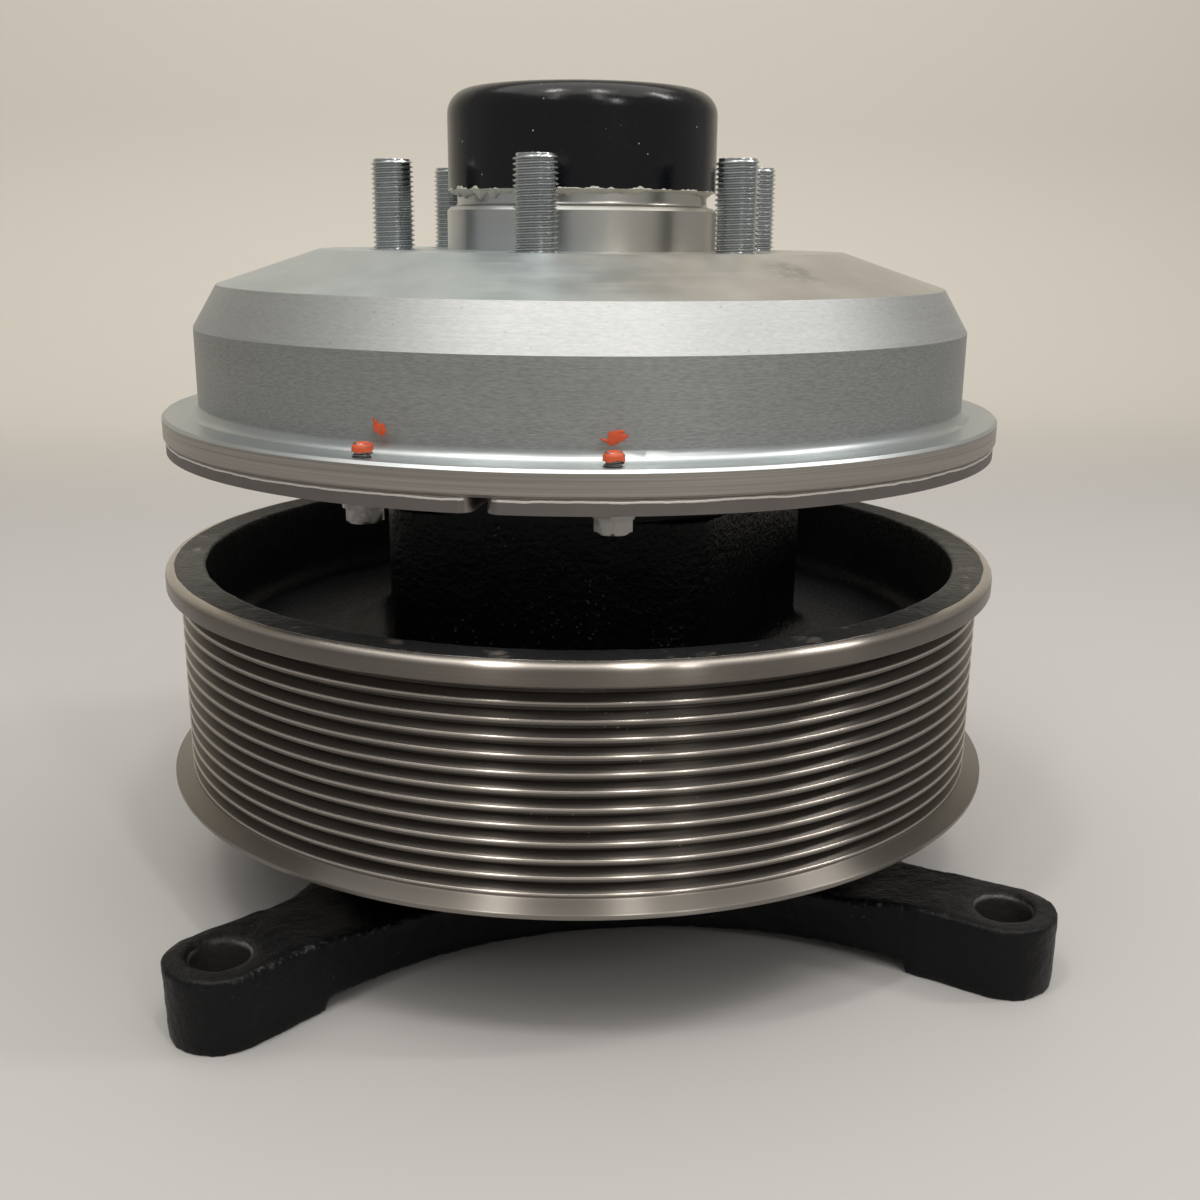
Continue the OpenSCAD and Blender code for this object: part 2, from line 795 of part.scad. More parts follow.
module upper_balls() {
    color([0.8, 0.8, 0.82]) balls(hub_ball_n, spindle_d, hub_bearing_od, hub_bearing_w, upper_bearing_z);
}

module upper_cage() {
    color([0.72, 0.6, 0.35]) cage(hub_ball_n, spindle_d, hub_bearing_od, hub_bearing_w, upper_bearing_z);
}

// Drive shaft and rotor

module countersunk_screw(d, length, z_head, up) {
    // Flat-headed screw: the head's face lies at z_head, the shank points up or down
    head_h = d / 2;
    translate([0, 0, z_head]) scale([1, 1, up]) {
        cylinder(r1 = d, r2 = d / 2, h = head_h);
        cylinder(d = d, h = length);
    }
}

module countersink(d, z_head, up, clear) {
    // Hole for such a screw, with the same head angle
    head_h = d / 2 + clear;
    translate([0, 0, z_head]) scale([1, 1, up]) {
        cylinder(r1 = d + clear, r2 = d / 2, h = head_h);
        translate([0, 0, -1]) cylinder(r = d + clear, h = 1);
        cylinder(r = d / 2 + clear, h = big);
    }
}

module drive_shaft() {
    inner_race_r = ball_circle_r(clutch_bearing_bore, clutch_bearing_od)
        - ball_r(clutch_bearing_bore, clutch_bearing_od) / 2;
    color([0.6, 0.6, 0.62]) difference() {
        rotate_extrude() polygon([
            [0, shaft_recess_top],
            [shaft_recess_r, shaft_recess_top],
            [shaft_recess_r, column_top - shaft_spigot_h],
            [hub_bore_r - press_gap, column_top - shaft_spigot_h],
            [hub_bore_r - press_gap, column_top],
            [drive_flange_d / 2, column_top],
            [drive_flange_d / 2, drive_flange_top - edge],
            [drive_flange_d / 2 - edge, drive_flange_top],
            [inner_race_r, drive_flange_top],
            [inner_race_r, clutch_bearing_z],
            [clutch_bearing_bore / 2, clutch_bearing_z],
            [clutch_bearing_bore / 2, clutch_bearing_top],
            [rotor_seat_d / 2, clutch_bearing_top],
            [rotor_seat_d / 2, rotor_ring_z],
            [rotor_seat_d / 2 - shaft_ring_depth, rotor_ring_z],
            [rotor_seat_d / 2 - shaft_ring_depth, rotor_ring_z + ring_t],
            [rotor_seat_d / 2, rotor_ring_z + ring_t],
            [rotor_seat_d / 2 - edge, shaft_top],
            [0, shaft_top]
        ]);
        ring_of(column_n, column_turn) translate([0, -drive_screw_circle_d / 2, 0])
            countersink(drive_screw_d, drive_flange_top, -1, rim_gap);
    }
}

module drive_screws() {
    color([0.25, 0.25, 0.27]) ring_of(column_n, column_turn)
        translate([0, -drive_screw_circle_d / 2, 0])
            countersunk_screw(drive_screw_d, drive_screw_l, drive_flange_top, -1);
}

module clutch_inner_race() {
    color([0.7, 0.7, 0.72])
        inner_race(clutch_bearing_bore, clutch_bearing_od, clutch_bearing_w, clutch_bearing_z);
}

module rotor() {
    hub_wall = 6;
    feed_r = 3;
    feed_circle_r = land_r0 - land_pitch / 2 - land_t - feed_r;
    color([0.72, 0.73, 0.74]) difference() {
        rotate_extrude() {
            translate([rotor_seat_d / 2 + press_gap, clutch_bearing_top])
                square([hub_wall, rotor_top - clutch_bearing_top]);
            translate([rotor_seat_d / 2 + press_gap, rotor_z])
                square([rotor_r - rotor_seat_d / 2 - press_gap, rotor_t]);
            for (i = [0 : land_n - 1])
                translate([land_r0 + i * land_pitch - land_t / 2, rotor_z - land_h])
                    square([land_t, land_h + 1]);
        }
        ring_of(6) peg(feed_r, feed_circle_r, rotor_z - 1, rotor_t + 2);
    }
}

module rotor_retaining_ring() {
    color([0.3, 0.3, 0.32]) snap_ring(
        rotor_seat_d / 2 - shaft_ring_depth + press_gap,
        rotor_seat_d / 2 + shaft_ring_hold,
        rotor_ring_z,
        rotor_ring_gap
    );
}

// Clutch housing

module housing_profile() {
    blend = 3;
    polygon([
        [seat_r, flange_z],
        [flange_r - edge, flange_z],
        [flange_r, flange_z + edge],
        [flange_r, flange_top - edge],
        [flange_r - edge, flange_top],
        [wall_r, flange_top],
        [wall_r, wall_top],
        [bevel_r, bevel_top],
        [top_d / 2, head_top],
        [pilot_d / 2, head_top],
        [pilot_d / 2, pilot_top - pilot_chamfer],
        [pilot_d / 2 - pilot_chamfer, pilot_top],
        [neck_r, pilot_top],
        [neck_r, neck_top],
        [well_r, neck_top],
        [well_r, well_z],
        [valve_r + run_gap, well_z],
        [valve_r + run_gap, valve_seal_z + valve_seal_r + run_gap],
        [valve_groove_r, valve_seal_z + valve_seal_r + run_gap],
        [valve_groove_r, valve_seal_z - valve_seal_r - run_gap],
        [valve_r + run_gap, valve_seal_z - valve_seal_r - run_gap],
        [valve_r + run_gap, roof_z],
        [ledge_r, roof_z],
        [ledge_r, reservoir_top],
        [housing_r, reservoir_top],
        [housing_r, flange_z + cover_rim_t],
        [seat_r, flange_z + cover_rim_t]
    ]);
    cove(wall_r, flange_top, 1, 1, wall_fillet);
    cove(neck_r, pilot_top, 1, 1, neck_fillet);
    cove(ledge_r, roof_z, -1, -1, blend);
}

module clutch_housing() {
    color([0.66, 0.69, 0.72]) difference() {
        rotate_extrude() housing_profile();
        ring_of(stud_n, head_turn) {
            peg(stud_tap_r + thread_gap, stud_circle_d / 2, head_top - stud_in - room, big);
            peg(stud_r + spot_w, stud_circle_d / 2, head_top - spot_h, big);
        }
        clamp_positions() translate([0, 0, flange_z - 1])
            cylinder(r = clamp_r + thread_gap, h = flange_t + 2);
        ring_of(reservoir_screw_n, head_turn)
            peg(reservoir_screw_d / 2 + thread_gap, reservoir_screw_r, reservoir_z, reservoir_screw_l + room);
        turn(head_turn) peg(anchor_d / 2 + press_gap, anchor_r, well_z - anchor_in, big);
    }
}

module fan_studs() {
    color([0.7, 0.72, 0.75]) ring_of(stud_n, head_turn) translate([0, -stud_circle_d / 2, 0])
        rotate_extrude() polygon([
            [0, head_top - stud_in],
            [stud_tap_r - thread_chamfer, head_top - stud_in],
            [stud_tap_r, head_top - stud_in + thread_chamfer],
            [stud_tap_r, head_top - spot_h],
            [stud_r, head_top - spot_h],
            [stud_r, head_top + stud_h - thread_chamfer],
            [stud_r - thread_chamfer, head_top + stud_h],
            [0, head_top + stud_h]
        ]);
}

// Places its children at the clamp bolts: two to a plate, near the plate's ends
module clamp_positions() {
    ring_of(plate_n, head_turn + plate_turn) for (side = [-1, 1])
        turn(side * plate_bolt_turn) translate([0, -clamp_circle_r, 0]) children();
}

module rear_cover() {
    floor_r = plate_in_r - room;
    wall = 4;
    color([0.6, 0.62, 0.64]) rotate_extrude() difference() {
        union() {
            polygon([
                [clutch_bearing_od / 2 - cover_lip_w, cover_z],
                [cover_hub_r, cover_z],
                [cover_hub_r, cover_floor_z],
                [floor_r, cover_floor_z],
                [floor_r, flange_z],
                [seat_r - rim_gap, flange_z],
                [seat_r - rim_gap, flange_z + cover_rim_t],
                [spigot_r, flange_z + cover_rim_t],
                [spigot_r, flange_z + cover_rim_t + spigot_h],
                [spigot_r - wall, flange_z + cover_rim_t + spigot_h],
                [spigot_r - wall, cover_floor_top],
                [cover_hub_r, cover_floor_top],
                [cover_hub_r, cover_hub_top],
                [clutch_bearing_od / 2 - cover_lip_w, cover_hub_top]
            ]);
            for (i = [0 : land_n - 1])
                translate([land_r0 + (i - 0.5) * land_pitch - land_t / 2, cover_floor_top - 1])
                    square([land_t, land_h + 1]);
        }
        translate([0, clutch_bearing_z]) square([clutch_bearing_od / 2 + press_gap, big]);
        translate([0, clutch_bearing_top])
            square([clutch_bearing_od / 2 + press_gap + ring_depth, ring_t]);
        translate([seal_groove_r, seal_z - seal_r - rim_gap]) square([big, 2 * (seal_r + rim_gap)]);
    }
}

module cover_seal() {
    color([0.05, 0.05, 0.05]) rotate_extrude()
        translate([seal_groove_r + seal_r + press_gap, seal_z]) circle(seal_r, $fn = 32);
}

module clamp_plate(i) {
    reach = 2 * plate_r;
    middle = 360 / plate_n * (i + 0.5);
    color([0.5, 0.49, 0.5]) translate([0, 0, flange_z - plate_t]) difference() {
        linear_extrude(plate_t) rotate(head_turn + plate_turn) intersection() {
            difference() {
                circle(plate_r);
                circle(plate_in_r);
                for (end = [i, i + 1]) rotate(360 / plate_n * end) {
                    translate([-plate_gap / 2, -reach]) square([plate_gap, reach]);
                    for (side = [-1, 1]) round_off(side * plate_gap / 2, -plate_r, -side, -1, plate_corner);
                }
            }
            rotate(middle - 90) polygon([
                [0, 0],
                [reach * cos(60), -reach * sin(60)],
                [reach, -reach * sin(60)],
                [reach, reach * sin(60)],
                [reach * cos(60), reach * sin(60)]
            ]);
        }
        clamp_positions() translate([0, 0, -1]) cylinder(r = clamp_r + rim_gap, h = plate_t + 2);
    }
}

module clamp_plate_1() {
    clamp_plate(0);
}

module clamp_plate_2() {
    clamp_plate(1);
}

module clamp_plate_3() {
    clamp_plate(2);
}

module clamp_bolts() {
    head_z = flange_z - plate_t - clamp_washer_t - clamp_head_h;
    color([0.75, 0.76, 0.78]) clamp_positions() {
        hexagon(clamp_head_af, head_z, clamp_head_h);
        translate([0, 0, head_z]) cylinder(r = clamp_r, h = flange_top + clamp_tip - head_z);
    }
}

module clamp_washers() {
    lap = 0.6;
    color([0.7, 0.7, 0.72]) clamp_positions()
        tube(clamp_r + rim_gap, clamp_head_af / 2 + lap, flange_z - plate_t - clamp_washer_t, clamp_washer_t);
}

module clutch_outer_race() {
    color([0.7, 0.7, 0.72])
        outer_race(clutch_bearing_bore, clutch_bearing_od, clutch_bearing_w, clutch_bearing_z);
}

module clutch_retaining_ring() {
    color([0.3, 0.3, 0.32]) snap_ring(
        clutch_bearing_od / 2 - ring_hold,
        clutch_bearing_od / 2 + ring_depth,
        clutch_bearing_top,
        clutch_ring_gap
    );
}

module clutch_balls() {
    color([0.8, 0.8, 0.82])
        balls(clutch_ball_n, clutch_bearing_bore, clutch_bearing_od, clutch_bearing_w, clutch_bearing_z);
}

module clutch_cage() {
    color([0.72, 0.6, 0.35])
        cage(clutch_ball_n, clutch_bearing_bore, clutch_bearing_od, clutch_bearing_w, clutch_bearing_z);
}

// Reservoir, valve and coil

module reservoir_plate() {
    return_d = 4;
    color([0.62, 0.64, 0.66]) difference() {
        translate([0, 0, reservoir_z]) cylinder(r = housing_r - rim_gap, h = reservoir_t);
        ring_of(reservoir_screw_n, head_turn) translate([0, -reservoir_screw_r, 0])
            countersink(reservoir_screw_d, reservoir_z, 1, rim_gap);
        turn(head_turn + valve_turn) peg(port_d / 2, port_circle_r, reservoir_z - 1, reservoir_t + 2);
        ring_of(2, head_turn + valve_turn + 90)
            peg(return_d / 2, ledge_r - return_d, reservoir_z - 1, reservoir_t + 2);
    }
}

module reservoir_screws() {
    color([0.3, 0.3, 0.32]) ring_of(reservoir_screw_n, head_turn) translate([0, -reservoir_screw_r, 0])
        countersunk_screw(reservoir_screw_d, reservoir_screw_l, reservoir_z, 1);
}

module valve_shaft() {
    collar_w = 2;
    collar_r = valve_r + collar_w;
    slot_w = coil_t + 2 * rim_gap;
    shaft_z = valve_arm_z;
    color([0.72, 0.72, 0.74]) difference() {
        rotate_extrude() polygon([
            [0, shaft_z],
            [valve_r, shaft_z],
            [valve_r, valve_arm_top],
            [collar_r, valve_arm_top],
            [collar_r, roof_z - run_gap],
            [valve_r, roof_z - run_gap],
            [valve_r, coil_top + room],
            [valve_r - room, coil_top + 2 * room],
            [0, coil_top + 2 * room]
        ]);
        turn(head_turn) translate([-slot_w / 2, -big / 2, coil_z - rim_gap]) cube([slot_w, big, big]);
    }
}

module valve_arm() {
    hub_wall = 4;
    port_lap = 2.5;
    pad_r = port_d / 2 + port_lap;
    color([0.68, 0.66, 0.55]) turn(head_turn + valve_turn) translate([0, 0, valve_arm_z])
        linear_extrude(valve_arm_t) difference() {
            union() {
                circle(valve_r + hub_wall);
                translate([-valve_arm_w / 2, -port_circle_r]) square([valve_arm_w, port_circle_r]);
                translate([0, -port_circle_r]) circle(pad_r);
            }
            circle(valve_r + press_gap);
        }
}

module valve_seal() {
    color([0.05, 0.05, 0.05]) rotate_extrude()
        translate([valve_r + run_gap + valve_seal_r, valve_seal_z])
            circle(valve_seal_r - run_gap / 2, $fn = 32);
}

// Point of the coil's strip, at an angle along it and an offset from its middle
function coil_point(a, offset) =
    let (r = coil_r0 + coil_pitch * a / 360 + offset)
    [r * sin(a), -r * cos(a)];

module bimetal_coil() {
    step = 15;
    last = 360 * coil_turns;
    color([0.72, 0.66, 0.5]) translate([0, 0, coil_z]) turn(head_turn) linear_extrude(coil_w) {
        polygon(concat(
            [for (a = [0 : step : last]) coil_point(a, coil_t / 2)],
            [for (a = [last : -step : 0]) coil_point(a, -coil_t / 2)]
        ));
        translate([-coil_t / 2, -coil_r0 - coil_t / 2]) square([coil_t, coil_r0 + coil_t / 2]);
    }
}

module coil_anchor() {
    color([0.6, 0.6, 0.62]) turn(head_turn)
        peg(anchor_d / 2, anchor_r, well_z - anchor_in, coil_top - well_z + anchor_in);
}

// End cap

module end_cap() {
    step_w = 1.5;
    hollow_r = neck_r - step_w;
    color([0.05, 0.05, 0.06]) rotate_extrude() difference() {
        translate([0, cap_z]) square([cap_d / 2, cap_h]);
        translate([0, cap_z - 1]) square([cap_d / 2 - cap_wall, neck_top - cap_z + 1]);
        difference() {
            translate([0, cap_z]) square([hollow_r, cap_h - cap_wall]);
            round_off(hollow_r, cap_top - cap_wall, 1, 1, cap_round - cap_wall);
        }
        round_off(cap_d / 2, cap_top, 1, 1, cap_round);
    }
}

module cap_sealant() {
    bead_inset = 0.6;
    bead_foot = 1;
    bead_lip = 0.4;
    bead_r = cap_d / 2 - bead_inset;
    color([0.62, 0.6, 0.55]) rotate_extrude() polygon([
        [neck_r + press_gap, cap_z - bead_h],
        [bead_r - bead_foot, cap_z - bead_h],
        [bead_r, cap_z - bead_h / 2],
        [bead_r - bead_lip, cap_z],
        [neck_r + press_gap, cap_z]
    ]);
}

mounting_bracket();
spindle();
foot_washer();
foot_nut();
lower_inner_race();
upper_inner_race();
inner_race_spacer();
lock_washer();
bearing_nut();
belt_pulley();
hub_seal();
lower_outer_race();
upper_outer_race();
outer_race_spacer();
hub_retaining_ring();
drive_shaft();
drive_screws();
clutch_inner_race();
rotor();
rotor_retaining_ring();
lower_balls();
lower_cage();
upper_balls();
upper_cage();
clutch_housing();
fan_studs();
rear_cover();
cover_seal();
clamp_plate_1();
clamp_plate_2();
clamp_plate_3();
clamp_bolts();
clamp_washers();
clutch_outer_race();
clutch_retaining_ring();
clutch_balls();
clutch_cage();
reservoir_plate();
reservoir_screws();
valve_shaft();
valve_arm();
valve_seal();
bimetal_coil();
coil_anchor();
end_cap();
cap_sealant();
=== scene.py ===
"""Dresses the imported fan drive: finishes, threads, sealant, paint marks, studio light and camera.

All lengths are in metres in the part's own frame: +Z up the shaft, the feet standing on Z = 0.
Angles round the shaft are counted in degrees from the front (-Y), positive towards +X.
"""

from __future__ import annotations

import logging
import math
from dataclasses import dataclass
from enum import Enum
from typing import Any, Callable, Iterable, Sequence

import bmesh
import bpy
import numpy as np
from mathutils import Matrix, Vector, noise

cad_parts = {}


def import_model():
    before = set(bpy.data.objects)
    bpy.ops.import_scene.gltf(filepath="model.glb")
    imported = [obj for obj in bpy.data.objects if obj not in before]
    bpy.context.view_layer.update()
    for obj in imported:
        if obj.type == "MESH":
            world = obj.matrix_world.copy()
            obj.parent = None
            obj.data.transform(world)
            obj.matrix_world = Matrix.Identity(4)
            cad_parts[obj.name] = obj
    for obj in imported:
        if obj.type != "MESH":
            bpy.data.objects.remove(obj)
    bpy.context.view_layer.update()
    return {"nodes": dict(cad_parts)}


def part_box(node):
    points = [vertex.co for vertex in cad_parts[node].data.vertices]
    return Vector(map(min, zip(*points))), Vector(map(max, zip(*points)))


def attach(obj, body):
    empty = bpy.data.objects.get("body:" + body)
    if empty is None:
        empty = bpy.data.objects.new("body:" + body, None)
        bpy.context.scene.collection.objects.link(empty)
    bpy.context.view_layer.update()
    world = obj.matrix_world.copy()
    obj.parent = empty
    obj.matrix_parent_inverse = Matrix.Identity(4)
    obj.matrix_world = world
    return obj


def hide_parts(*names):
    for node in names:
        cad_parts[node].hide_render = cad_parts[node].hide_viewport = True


LOG = logging.getLogger("fan_drive")
MM = 0.001

EDGE_WEAR = "edge_wear"
THREAD_ROOT = "thread_root"

FOOT_AT = 82 * MM
FOOT_TOP = 16.5 * MM
GROOVE_PITCH = 3.56 * MM
ROOT_R = 94.35 * MM
RIDGE_R = 97.15 * MM
CUP_FLOOR = 58.52 * MM
FLANGE_TOP = 115.22 * MM
WALL_R = 90.4 * MM
HEAD_TURN = -19.2

Colour = tuple[float, float, float]
Socket = bpy.types.NodeSocket
Profile = Sequence[tuple[float, float]]
Ring = Sequence[bmesh.types.BMVert]


def round_shaft(angle: float, radius: float, height: float) -> Vector:
    """Point beside the shaft.

    Args:
        angle: Degrees from the front, positive towards +X.
        radius: Distance from the shaft's axis.
        height: Height above the feet.

    Returns:
        The point in the part's frame.
    """
    a = math.radians(angle)
    return Vector((radius * math.sin(a), -radius * math.cos(a), height))


class Body(Enum):
    """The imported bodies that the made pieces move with."""

    BRACKET = "bracket"
    PULLEY = "pulley"
    HOUSING = "housing"
    VALVE = "valve"


class Slot(Enum):
    """Names of material slots; the pieces that the script makes do not use them."""

    BLACK_PAINT = "black_paint"
    TURNED_IRON = "turned_iron"
    ZINC_PLATE = "zinc_plate"
    SEALANT = "sealant"
    BIMETAL = "bimetal"


class Recipe:
    """Builds one node material, a step at a time."""

    def __init__(self, name: str) -> None:
        """Starts an empty material.

        Args:
            name: The material's name.
        """
        self.material = bpy.data.materials.new(name)
        self.material.use_nodes = True
        self.tree = self.material.node_tree
        self.shader = self.tree.nodes["Principled BSDF"]
        self.place = self.node("ShaderNodeTexCoord").outputs["Object"]
        split = self.node("ShaderNodeSeparateXYZ", Vector=self.place)
        self.x, self.y, self.z = split.outputs
        self.r = self.math("SQRT", self.math("ADD", self.times(self.x, self.x), self.times(self.y, self.y)))

    def node(self, kind: str, settings: dict[str, Any] | None = None, **inputs: Any) -> bpy.types.Node:
        """Adds a node.

        Args:
            kind: The node's Blender type.
            settings: Attributes to set on the node.
            **inputs: Values or sockets for its named inputs.

        Returns:
            The new node.
        """
        made = self.tree.nodes.new(kind)
        for key, value in (settings or {}).items():
            setattr(made, key, value)
        for key, value in inputs.items():
            self.feed(made.inputs[key.replace("_", " ")], value)
        return made

    def feed(self, socket: Socket, value: Any) -> None:
        """Links a socket, or sets its value.

        Args:
            socket: The input to feed.
            value: An output socket, a number, a colour or a vector.
        """
        if isinstance(value, Socket):
            self.tree.links.new(value, socket)
        elif socket.type == "RGBA" and len(value) == 3:
            socket.default_value = (*value, 1.0)
        else:
            socket.default_value = value

    def set(self, **inputs: Any) -> Recipe:
        """Feeds the shader's own sockets; a name's underscores are spaces.

        Args:
            **inputs: Values or sockets by socket name.

        Returns:
            This recipe.
        """
        for key, value in inputs.items():
            self.feed(self.shader.inputs[key.replace("_", " ")], value)
        return self

    def math(self, operation: str, a: Any, b: Any = 0.0) -> Socket:
        """Adds a sum of two values.

        Args:
            operation: Blender's name of the operation.
            a: First value or socket.
            b: Second value or socket.

        Returns:
            The result's socket.
        """
        made = self.node("ShaderNodeMath", {"operation": operation})
        self.feed(made.inputs[0], a)
        self.feed(made.inputs[1], b)
        return made.outputs[0]

    def step(self, value: Any, low: float, high: float) -> Socket:
        """Adds a smooth step.

        Args:
            value: What is measured.
            low: Where the step starts; the result is 0 there.
            high: Where it ends; the result is 1 there. It may be below low.

        Returns:
            The step's socket.
        """
        made = self.node("ShaderNodeMapRange", {"interpolation_type": "SMOOTHSTEP"}, Value=value)
        made.inputs["From Min"].default_value = low
        made.inputs["From Max"].default_value = high
        return made.outputs[0]

    def band(self, value: Any, low: float, high: float, soft: float) -> Socket:
        """Adds a mask that is 1 between two limits.

        Args:
            value: What is measured.
            low: Lower limit.
            high: Upper limit.
            soft: Width of each edge.

        Returns:
            The mask's socket.
        """
        return self.times(self.step(value, low - soft / 2, low + soft / 2),
                          self.step(value, high + soft / 2, high - soft / 2))

    def times(self, *masks: Any) -> Socket:
        """Multiplies masks together."""
        result = masks[0]
        for mask in masks[1:]:
            result = self.math("MULTIPLY", result, mask)
        return result

    def vector(self, x: Any, y: Any, z: Any) -> Socket:
        """Joins three values into a vector."""
        return self.node("ShaderNodeCombineXYZ", X=x, Y=y, Z=z).outputs[0]

    def noise(self, scale: float, detail: float = 2.0, rough: float = 0.5,
              vector: Socket | None = None) -> Socket:
        """Adds a noise between 0 and 1.

        Args:
            scale: Features per metre.
            detail: Octaves.
            rough: Strength of the finer octaves.
            vector: Where it is read, or the object's own place.

        Returns:
            The noise's socket.
        """
        made = self.node("ShaderNodeTexNoise", Vector=vector or self.place, Scale=scale, Detail=detail)
        made.inputs["Roughness"].default_value = rough
        return made.outputs[0]

    def rings(self, per_metre: float, drift: float = 30.0) -> Socket:
        """Adds the fine rings that a lathe leaves, on walls, faces and cones alike.

        Args:
            per_metre: Rings per metre along the turned profile.
            drift: How fast a ring changes round the shaft.

        Returns:
            The grain's socket, between 0 and 1.
        """
        along = self.math("ADD", self.times(self.r, 0.7 * per_metre), self.times(self.z, 1.3 * per_metre))
        at = self.vector(self.times(self.x, drift), self.times(self.y, drift), along)
        return self.noise(1.0, 3.0, 0.6, at)

    def specks(self, per_metre: float, share: float) -> Socket:
        """Adds scattered small spots.

        Args:
            per_metre: Cells per metre.
            share: Radius of a spot as a share of its cell.

        Returns:
            A mask that is 1 on the spots.
        """
        cells = self.node("ShaderNodeTexVoronoi", Vector=self.place, Scale=per_metre)
        return self.step(cells.outputs["Distance"], share, share * 0.6)

    def near(self, point: Vector, inner: float, outer: float) -> Socket:
        """Adds a mask round a point.

        Args:
            point: The mask's middle.
            inner: Radius where it is still 1.
            outer: Radius where it is 0.

        Returns:
            The mask's socket.
        """
        made = self.node("ShaderNodeVectorMath", {"operation": "DISTANCE"})
        self.feed(made.inputs[0], self.place)
        made.inputs[1].default_value = point
        return self.step(made.outputs["Value"], outer, inner)

    def mix(self, share: Any, a: Any, b: Any) -> Socket:
        """Mixes two colours.

        Args:
            share: How much of b.
            a: First colour or socket.
            b: Second colour or socket.

        Returns:
            The colour's socket.
        """
        made = self.node("ShaderNodeMix", {"data_type": "RGBA"})
        for index, value in ((0, share), (6, a), (7, b)):
            self.feed(made.inputs[index], value)
        return made.outputs[2]

    def lerp(self, share: Any, a: Any, b: Any) -> Socket:
        """Mixes two numbers.

        Args:
            share: How much of b.
            a: First number or socket.
            b: Second number or socket.

        Returns:
            The number's socket.
        """
        made = self.node("ShaderNodeMix", {"data_type": "FLOAT"})
        for index, value in ((0, share), (2, a), (3, b)):
            self.feed(made.inputs[index], value)
        return made.outputs[0]

    def brush(self, strength: float) -> Recipe:
        """Stretches the highlights across fine lines that run round the shaft.

        Args:
            strength: How far the highlights stretch, from 0 to 1.

        Returns:
            This recipe.
        """
        tangent = self.node("ShaderNodeTangent", {"direction_type": "RADIAL", "axis": "Z"})
        return self.set(Anisotropic=strength, Anisotropic_Rotation=0.25, Tangent=tangent.outputs[0])

    def attribute(self, name: str) -> Socket:
        """Reads a number that a piece's mesh carries at its points."""
        return self.node("ShaderNodeAttribute", {"attribute_name": name}).outputs["Fac"]

    def bump(self, height: Socket, depth: float, strength: float = 1.0,
             under: Socket | None = None) -> Socket:
        """Adds a bump.

        Args:
            height: The relief, between 0 and 1.
            depth: Its real depth.
            strength: How much of it shows.
            under: A bump that this one lies on.

        Returns:
            The normal's socket.
        """
        made = self.node("ShaderNodeBump", Height=height, Strength=strength, Distance=depth)
        if under is not None:
            self.feed(made.inputs["Normal"], under)
        return made.outputs[0]


@dataclass(frozen=True)
class TurnedMetal:
    """Machined or rolled metal with lathe rings and faint blotches."""

    name: str
    light: Colour
    dark: Colour
    roughness: float = 0.3
    rings_per_metre: float = 2500.0

    def make(self) -> bpy.types.Material:
        """Builds the material."""
        r = Recipe(self.name)
        grain = r.rings(self.rings_per_metre)
        blotch = r.noise(60.0, 3.0)
        r.set(Base_Color=r.mix(r.lerp(0.5, grain, blotch), self.dark, self.light), Metallic=1.0,
              Roughness=r.lerp(grain, self.roughness - 0.06, self.roughness + 0.1),
              Normal=r.bump(grain, 0.02 * MM, 0.6))
        return r.material


@dataclass(frozen=True)
class CastPaint:
    """Black paint on a rough casting, rubbed thin along its edges and at the foot holes, with painted light
    in the holes.
    """

    name: str = "black_cast_paint"
    hole_at: float = FOOT_AT
    hole_r: float = 6 * MM
    foot_top: float = FOOT_TOP

    def make(self) -> bpy.types.Material:
        """Builds the material."""
        r = Recipe(self.name)
        coarse, fine, blotch = r.noise(820.0, 4.0, 0.65), r.noise(2100.0, 2.0), r.noise(45.0, 3.0)
        away = [r.math("SUBTRACT", r.math("ABSOLUTE", axis), self.hole_at) for axis in (r.x, r.y)]
        reach = r.math("SQRT", r.math("ADD", *(r.times(a, a) for a in away)))
        rim = r.times(r.band(reach, self.hole_r - 0.2 * MM, self.hole_r + 0.3 * MM, 0.4 * MM),
                      r.step(r.z, self.foot_top - 1.6 * MM, self.foot_top - 0.8 * MM),
                      r.step(blotch, 0.4, 0.62))
        bore = r.step(reach, self.hole_r + 0.4 * MM, self.hole_r - 0.1 * MM)
        rubbed = r.times(r.step(r.attribute(EDGE_WEAR), 0.3, 0.85), r.step(coarse, 0.5, 0.64),
                         r.step(blotch, 0.42, 0.6))
        bare = r.math("MAXIMUM", r.times(rim, 0.7), r.times(rubbed, 0.35))
        chips = r.times(r.specks(330.0, 0.1), r.step(blotch, 0.5, 0.7))
        black = r.mix(blotch, (0.0022, 0.0022, 0.0028), (0.005, 0.005, 0.0057))
        dust_and_bore_light = r.mix(r.times(r.step(coarse, 0.55, 0.8), 0.3), black, (0.02, 0.0195, 0.0195))
        # Painted light: the foot holes' bores get a lighter colour than the paint, as if lit inside.
        dust_and_bore_light = r.mix(r.times(bore, 0.5), dust_and_bore_light, (0.05, 0.048, 0.043))
        chipped = r.mix(r.times(chips, 0.5), dust_and_bore_light, (0.16, 0.155, 0.15))
        r.set(Base_Color=r.mix(bare, chipped, (0.24, 0.235, 0.23)), Metallic=r.times(bare, 0.7),
              Roughness=r.lerp(coarse, 0.3, 0.52), Specular_IOR_Level=0.17,
              Normal=r.bump(fine, 0.07 * MM, 0.6, r.bump(coarse, 0.3 * MM, 0.9)))
        return r.material


